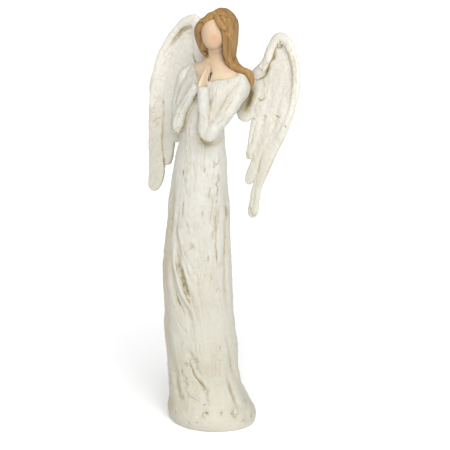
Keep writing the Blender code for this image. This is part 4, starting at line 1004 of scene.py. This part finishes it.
def wing_carving(points):
    """Depth and wash of the wings' soft swells and slanting barbs, which differ from wing to wing."""
    x, z, left = np.abs(points[:, 0]), points[:, 2], points[:, :1] > 0
    slant = np.stack([x + 0.5 * z, points[:, 1] * 0.3, z - 0.6 * x], axis=1) + 200 * left
    along = np.stack([x + 0.12 * (z - 300), points[:, 1] * 0.3, z], axis=1) + 300 * left
    soft, barbs = swell(along, (11, 11, 17), 61), swell(slant, (3.6, 9, 7), 63)
    rough = swell(points, (2.3, 2.3, 3), 65)
    line = veins(slant, (3.6, 9, 9), 67, 0.04) * step(0.45, 0.7, noise(points / 15, 66))
    return 0.6 * soft + 0.5 * barbs + 0.4 * rough + 0.3 * line, 0.3 * line


def hair_carving(points):
    """Depth of the hair's broad brushed strands, which carry no wash."""
    turn = np.arctan2(points[:, 0] - HEAD[0], HEAD[1] - points[:, 1])
    grain = np.stack([LOCK_RADIUS * np.sin(turn), LOCK_RADIUS * np.cos(turn), points[:, 2]], axis=1)
    return 0.6 * swell(grain, (3.4, 3.4, 26), 81) + 0.2 * swell(grain, (1.7, 1.7, 18), 82), 0


CARVINGS = {
    "gown": gown_carving,
    "sleeve": sleeve_carving,
    "hair": hair_carving,
    "near_wing": wing_carving,
    "far_wing": wing_carving,
}


def distances(points, groups):
    """How far each point lies from each group of shells, in millimetres."""
    away = {}
    for name, pieces in groups.items():
        search = BVHTree.FromPolygons(*together(pieces))
        near = [search.find_nearest(point, FARTHEST)[3] for point in (points * MM).tolist()]
        away[name] = np.array([FARTHEST if gap is None else gap for gap in near]) / MM
    return away


def kinds(away, names):
    """How much each point belongs to each of the named groups, and how near it lies to a second group."""
    shares = {name: np.zeros(len(gap)) for name, gap in away.items()}
    for name in names:
        others = np.min([away[other] for other in names if other != name] + [away[name] + ALONE], axis=0)
        shares[name] = np.clip(0.5 + (others - away[name]) / KIND_EDGE, 0, 1)
    return shares, np.sort(np.stack(list(away.values())), axis=0)[1]


def neighbour_mean(values, edges):
    """For each point the mean of its neighbours' values."""
    first, second = edges[:, 0], edges[:, 1]
    count = np.bincount(edges.ravel(), minlength=len(values))
    total = [
        np.bincount(first, part[second], len(values)) + np.bincount(second, part[first], len(values))
        for part in values.T
    ]
    return np.stack(total, axis=1) / count[:, None]


def hollows(points, outward, edges, rounds):
    """How deep each point lies below its surroundings, in millimetres."""
    mean = points
    for _ in range(rounds):
        mean = neighbour_mean(mean, edges)
    return np.einsum("ij,ij->i", mean - points, outward)


def carve(obj, groups, names, join_reach):
    """Carves the fused form along its surface and stores what the paint needs to know."""
    mesh = obj.data
    points, outward = positions(mesh), normals(mesh)
    share, seam = kinds(distances(points, groups), names)
    depth, wash, stroke, ink = traced(points, in_sight(mesh, points, outward), share)
    for name in names:
        if name in CARVINGS:
            inside = share[name] > 0
            cut, darkening = CARVINGS[name](points[inside])
            depth[inside] += cut * share[name][inside]
            wash[inside] += darkening * share[name][inside]
    blush = np.linalg.norm(seen(points) - BLUSH, axis=1) / BLUSH_RADIUS
    points = points - outward * (depth * step(*UNCUT_RIM, points[:, 2]))[:, None]
    mesh.vertices.foreach_set("co", (points * MM).astype(np.float32).ravel())
    mesh.update()
    outward = normals(mesh)
    facing = outward @ view_axes()[2]
    edges = read(mesh.edges, "vertices", 2, np.int32)
    layers = {
        "skin": share["skin"],
        "hair": share["hair"],
        "wing": share["near_wing"] + share["far_wing"],
        "blush": np.exp(-(blush**2)) * share["skin"] * step(0, 0.5, facing),
        # Darkening out of the joins: wash, and painted shade where a wing meets the body
        "seam": np.exp(-((seam / join_reach) ** 2)),
        "hollow": hollows(points, outward, edges, HOLLOW_ROUNDS),
        "recess": hollows(points, outward, edges, RECESS_ROUNDS),
        "wash": wash,
        "stroke": stroke,
        "ink": ink,
    }
    for name, values in layers.items():
        attribute = mesh.attributes.new(name, "FLOAT", "POINT")
        attribute.data.foreach_set("value", values.astype(np.float32))
    plain = obj.vertex_groups.new(name="plain")
    plain.add(np.flatnonzero(facing < PLAIN_FROM).tolist(), 1.0, "REPLACE")


def thin_out(obj, triangles):
    """Thins the side that the photograph doesn't show, and then all of it to its number of triangles."""
    hidden = sum(1 for vertex in obj.data.vertices if vertex.groups) / len(obj.data.vertices)
    fewer = obj.modifiers.new("Plain side", "DECIMATE")
    fewer.ratio = 1 - PLAIN_CUT * hidden
    fewer.vertex_group = "plain"
    fewer.use_collapse_triangulate = True
    apply_modifiers(obj)
    thin = obj.modifiers.new("Facets", "DECIMATE")
    thin.ratio = min(1, triangles / len(obj.data.polygons))
    apply_modifiers(obj)


def paint(red, green, blue):
    """A colour given as 0 to 255, as the linear values that the shader takes."""
    parts = [c / 255 for c in (red, green, blue)]
    return tuple(c / 12.92 if c <= 0.04045 else ((c + 0.055) / 1.055) ** 2.4 for c in parts) + (1.0,)


# The third cream is painted shade, for the lower part of the gown.
CREAM, CREAM_SHADE, CREAM_LOW_PAINTED_SHADE = paint(196, 194, 186), paint(188, 186, 176), paint(181, 178, 164)
WING_CREAM, WING_SHADE, WING_LOW = paint(210, 207, 197), paint(202, 198, 187), paint(186, 183, 169)
# The tan wash also paints shade, and the olive is painted shadow with wash.
TAN_WASH_AND_SHADE, TAN, BROWN, OLIVE_SHADOW_AND_WASH = paint(166, 150, 111), paint(134, 112, 74), paint(82, 56, 30), paint(100, 88, 60)
HAIR, HAIR_LIGHT, HAIR_DARK = paint(127, 96, 53), paint(158, 122, 70), paint(84, 56, 28)
# The deep skin colour is painted shade.
FACE_PAINT, CHEST_PAINT, SKIN_PAINTED_SHADE = paint(194, 168, 139), paint(199, 181, 154), paint(144, 116, 80)
BLUSH_PAINT, CLEFT = paint(205, 144, 106), paint(66, 36, 18)


class Value:
    """What a node gives out, which can be added to, taken from and multiplied by a number or another."""

    def __init__(self, material, socket):
        self.material = material
        self.socket = socket

    def __add__(self, other):
        return self.material.math("ADD", self, other)

    def __sub__(self, other):
        return self.material.math("SUBTRACT", self, other)

    def __mul__(self, other):
        return self.material.math("MULTIPLY", self, other)


class Paint:
    """One material, with small helpers that add a node to it and hand back what it gives out."""

    def __init__(self, name):
        self.material = bpy.data.materials.new(name)
        self.material.use_nodes = True
        self.tree = self.material.node_tree
        self.shader = self.tree.nodes["Principled BSDF"]
        self.place = self.node("TexCoord", "Object", {})

    def put(self, socket, value):
        """Sets a socket to a number or a colour, or links it to what another node gives out."""
        if isinstance(value, Value):
            self.tree.links.new(value.socket, socket)
        else:
            socket.default_value = value

    def node(self, kind, output, inputs, **settings):
        """Adds a node with these inputs and settings."""
        node = self.tree.nodes.new("ShaderNode" + kind)
        for name, value in settings.items():
            setattr(node, name, value)
        for name, value in inputs.items():
            self.put(node.inputs[name], value)
        return Value(self, node.outputs[output])

    def height(self):
        """Height above the underside, in metres."""
        return self.node("SeparateXYZ", "Z", {0: self.place})

    def layer(self, name):
        """One of the layers that carve stores at the points."""
        return self.node("Attribute", "Fac", {}, attribute_name=name)

    def math(self, operation, *values):
        return self.node("Math", 0, dict(enumerate(values)), operation=operation)

    def ramp(self, value, low, high, start=0, end=1):
        """Smooth from start, where the value is low or less, to end, where it is high or more."""
        limits = {"From Min": low, "From Max": high, "To Min": start, "To Max": end}
        return self.node("MapRange", 0, {"Value": value, **limits}, interpolation_type="SMOOTHSTEP")

    def grain(self, cell, detail=3, turn=(0, 0, 0)):
        """Noise whose cells have these sizes in millimetres along X, Y and Z."""
        scale = [1 / (size * MM) for size in cell]
        place = self.node("Mapping", 0, {"Vector": self.place, "Rotation": turn, "Scale": scale})
        return self.node("TexNoise", 0, {"Vector": place, "Scale": 1, "Detail": detail})

    def mix(self, share, first, second):
        return self.node("Mix", "Result", {"Factor": share, "A": first, "B": second}, data_type="RGBA")


def painted_resin():
    """Cream paint with a tan wash rubbed into the carving, painted shade, light brown hair and pale skin.
    """
    p = Paint("painted_resin")
    ramp, mix, grain = p.ramp, p.mix, p.grain
    hollow, recess, wash, seam = (p.layer(name) for name in ("hollow", "recess", "wash", "seam"))
    wing, skin, hair, ink = (p.layer(name) for name in ("wing", "skin", "hair", "ink"))

    height = p.height()
    streak = grain((1.2, 1.2, 12))
    patch = grain((14, 14, 30), 2)
    speck = grain((1.3, 1.3, 2))
    cloud = grain((22, 22, 40), 2)

    away = p.math("ABSOLUTE", p.layer("stroke")) + ramp(speck, 0.3, 0.7, -0.2, 0.25)
    core = ramp(away, 0.1, 0.75, 1, 0)
    line = core * p.math("MINIMUM", ink, 1)
    halo = ramp(away, 0.3, 2.1, 1, 0) * ink
    dots = core * ramp(ink, 0.6, 2.2) * ramp(speck, 0.47, 0.6)
    dots = p.math("MAXIMUM", dots, core * ramp(ink, 1.5, 2.4))
    broken = ramp(grain((2.2, 2.2, 3.4)), 0.38, 0.62, 0.25, 1)

    # Tan wash in the hollows, and painted shade where the traced rows and the wing joins put it
    wash_and_shade = ramp(hollow, 0.04, 0.3) * 0.45 + ramp(recess, 0.2, 1.3) * (wing * -0.2 + 0.32)
    wash_and_shade = wash_and_shade + wash * ramp(speck, 0.3, 0.6, 0.5, 1) + seam * broken * 0.5 + halo * 0.25
    brushed = grain((5, 9, 1.5), turn=(0, 0.7, 0)) * wing + streak * (wing * -1 + 1)
    spread = ramp(patch, 0.44, 0.6)
    marks = ramp(brushed, 0.55, 0.66) * spread * ramp(height, 0.03, 0.1)
    wash_and_shade = wash_and_shade + p.math("MAXIMUM", marks, ramp(speck, 0.62, 0.72) * spread) * 0.3

    dull = ramp((cloud + grain((3.5, 3.5, 5))) * 0.5, 0.4, 0.6)
    # Painted shade: the gown's cream darkens towards the bottom, against the light that the floor bounces
    # up.
    cream = mix(ramp(height, 0, 0.28), CREAM_LOW_PAINTED_SHADE, mix(dull, CREAM, CREAM_SHADE))
    feather = mix(ramp(height, 0.21, 0.33, 0.85, 0), mix(dull, WING_CREAM, WING_SHADE), WING_LOW)
    cloth = mix(wash_and_shade * 0.7, mix(wing, cream, feather), TAN_WASH_AND_SHADE)
    cloth = mix(line * broken * 0.6, cloth, TAN)
    # Olive painted shadow with wash where the darkening runs deepest: under her left elbow and at the
    # wing's root
    cloth = mix(ramp(wash, 0.9, 2.2, 0, 0.85), cloth, OLIVE_SHADOW_AND_WASH)
    cloth = mix(dots, cloth, BROWN)

    brown = mix(ramp(grain((1.6, 1.6, 22)), 0.35, 0.65), HAIR, HAIR_LIGHT)
    brown = mix(ramp(hollow, -0.16, -0.02, 0.7, 0), brown, HAIR_LIGHT)
    # The hair darkens in its hollows and along its lines, and takes painted shade where the traced rows put
    # it
    dark = ramp(hollow, 0.05, 0.3, 0, 0.45) + ramp(recess, 0.2, 1.4, 0, 0.35)
    brown = mix(dark + (ramp(away, 0, 1.3, 1, 0) * ink + wash) * 0.5, brown, HAIR_DARK)

    flesh = mix(ramp(height, 0.338, 0.352), CHEST_PAINT, FACE_PAINT)
    # Painted shade on the skin: darker in its hollows, at its joins and under the traced shade rows
    shade = ramp(hollow, 0.03, 0.3, 0, 0.35) + ramp(recess, 0.25, 1.6, 0, 0.5)
    flesh = mix(shade + seam * 0.25 + wash * 0.8, flesh, SKIN_PAINTED_SHADE)
    flesh = mix(p.layer("blush") * 0.75, flesh, BLUSH_PAINT)
    flesh = mix(core * p.math("MINIMUM", ink, 0.35), flesh, CLEFT)
    flesh = mix(ramp(away, 0.5, 1.3, 1, 0) * ramp(ink, 1.5, 3), flesh, CLEFT)

    colour = mix(ramp(hair, 0.4, 0.6), mix(ramp(skin, 0.4, 0.6), cloth, flesh), brown)
    p.put(p.shader.inputs["Base Color"], colour)
    p.put(p.shader.inputs["Roughness"], ramp(streak, 0.3, 0.7, 0.5, 0.64) + skin * -0.05)
    p.put(p.shader.inputs["Specular IOR Level"], 0.4)
    relief = (streak * 0.7 + speck * 0.7) * ramp(skin, 0.3, 0.7, 1, 0.1) - line
    bump = p.node("Bump", 0, {"Strength": 0.6, "Distance": 0.0006, "Height": relief})
    p.put(p.shader.inputs["Normal"], bump)
    return p.material


def floor_paint():
    """Plain pale matt floor."""
    p = Paint("pale_floor")
    p.put(p.shader.inputs["Base Color"], FLOOR_COLOUR)
    p.put(p.shader.inputs["Roughness"], 0.9)
    p.put(p.shader.inputs["Specular IOR Level"], 0.1)
    return p.material


def add_floor():
    """A wide floor, just clear of the underside."""
    mesh = bpy.data.meshes.new("floor")
    corners = [(x * FLOOR_HALF, y * FLOOR_HALF, 0) for x, y in ((-1, -1), (1, -1), (1, 1), (-1, 1))]
    mesh.from_pydata(corners, [], [(0, 1, 2, 3)])
    mesh.materials.append(floor_paint())
    floor = placed("floor", mesh)
    floor.location.z = FLOOR_LEVEL


def aimed(obj, back):
    """Turns a camera or a lamp so that this direction is behind it."""
    obj.rotation_euler = (-back).to_track_quat("-Z", "Y").to_euler()


def add_camera():
    """The camera at the photograph's viewing angle."""
    camera = placed("camera", bpy.data.cameras.new("camera"))
    camera.data.lens = LENS
    camera.data.sensor_width = SENSOR
    camera.data.clip_start = NEAREST
    camera.location = Vector(TARGET) + direction(*VIEW) * DISTANCE
    aimed(camera, direction(*VIEW))
    bpy.context.scene.camera = camera


def add_studio():
    """Pale walls all round, brighter on the camera's right, and one large soft light."""
    world = bpy.data.worlds.new("studio")
    world.use_nodes = True
    nodes, links = world.node_tree.nodes, world.node_tree.links
    facing = nodes.new("ShaderNodeVectorMath")
    facing.operation = "DOT_PRODUCT"
    links.new(nodes.new("ShaderNodeTexCoord").outputs["Generated"], facing.inputs[0])
    facing.inputs[1].default_value = direction(*BRIGHT_SIDE)
    strength = nodes.new("ShaderNodeMapRange")
    links.new(facing.outputs["Value"], strength.inputs["Value"])
    strength.inputs["From Min"].default_value = -1.0
    strength.inputs["To Min"].default_value = WORLD_BACK
    strength.inputs["To Max"].default_value = WORLD_FRONT
    links.new(strength.outputs[0], nodes["Background"].inputs["Strength"])
    nodes["Background"].inputs["Color"].default_value = (1, 1, 1, 1)
    bpy.context.scene.world = world
    bpy.context.scene.view_settings.view_transform = "Standard"
    softbox = placed("softbox", bpy.data.lights.new("softbox", "SUN"))
    softbox.data.energy = SUN
    softbox.data.angle = math.radians(SUN_ANGLE)
    aimed(softbox, direction(*SUN_FROM))


def castings():
    """The fused, carved and painted castings."""
    groups = all_forms()
    resin = painted_resin()
    kept = []
    for name, names, cell, rounds, triangles, join_reach in CASTINGS:
        casting = fused(name, sum((groups[form] for form in names), []), cell, rounds)
        carve(casting, groups, names, join_reach)
        thin_out(casting, triangles)
        cut_flat(casting)
        casting.data.shade_smooth()
        casting.data.materials.append(resin)
        kept.append(casting)
    return kept


def main():
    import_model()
    add_camera()
    add_studio()
    add_floor()
    for casting in castings():
        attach(casting, "root")
        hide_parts("angel_figurine")


main()
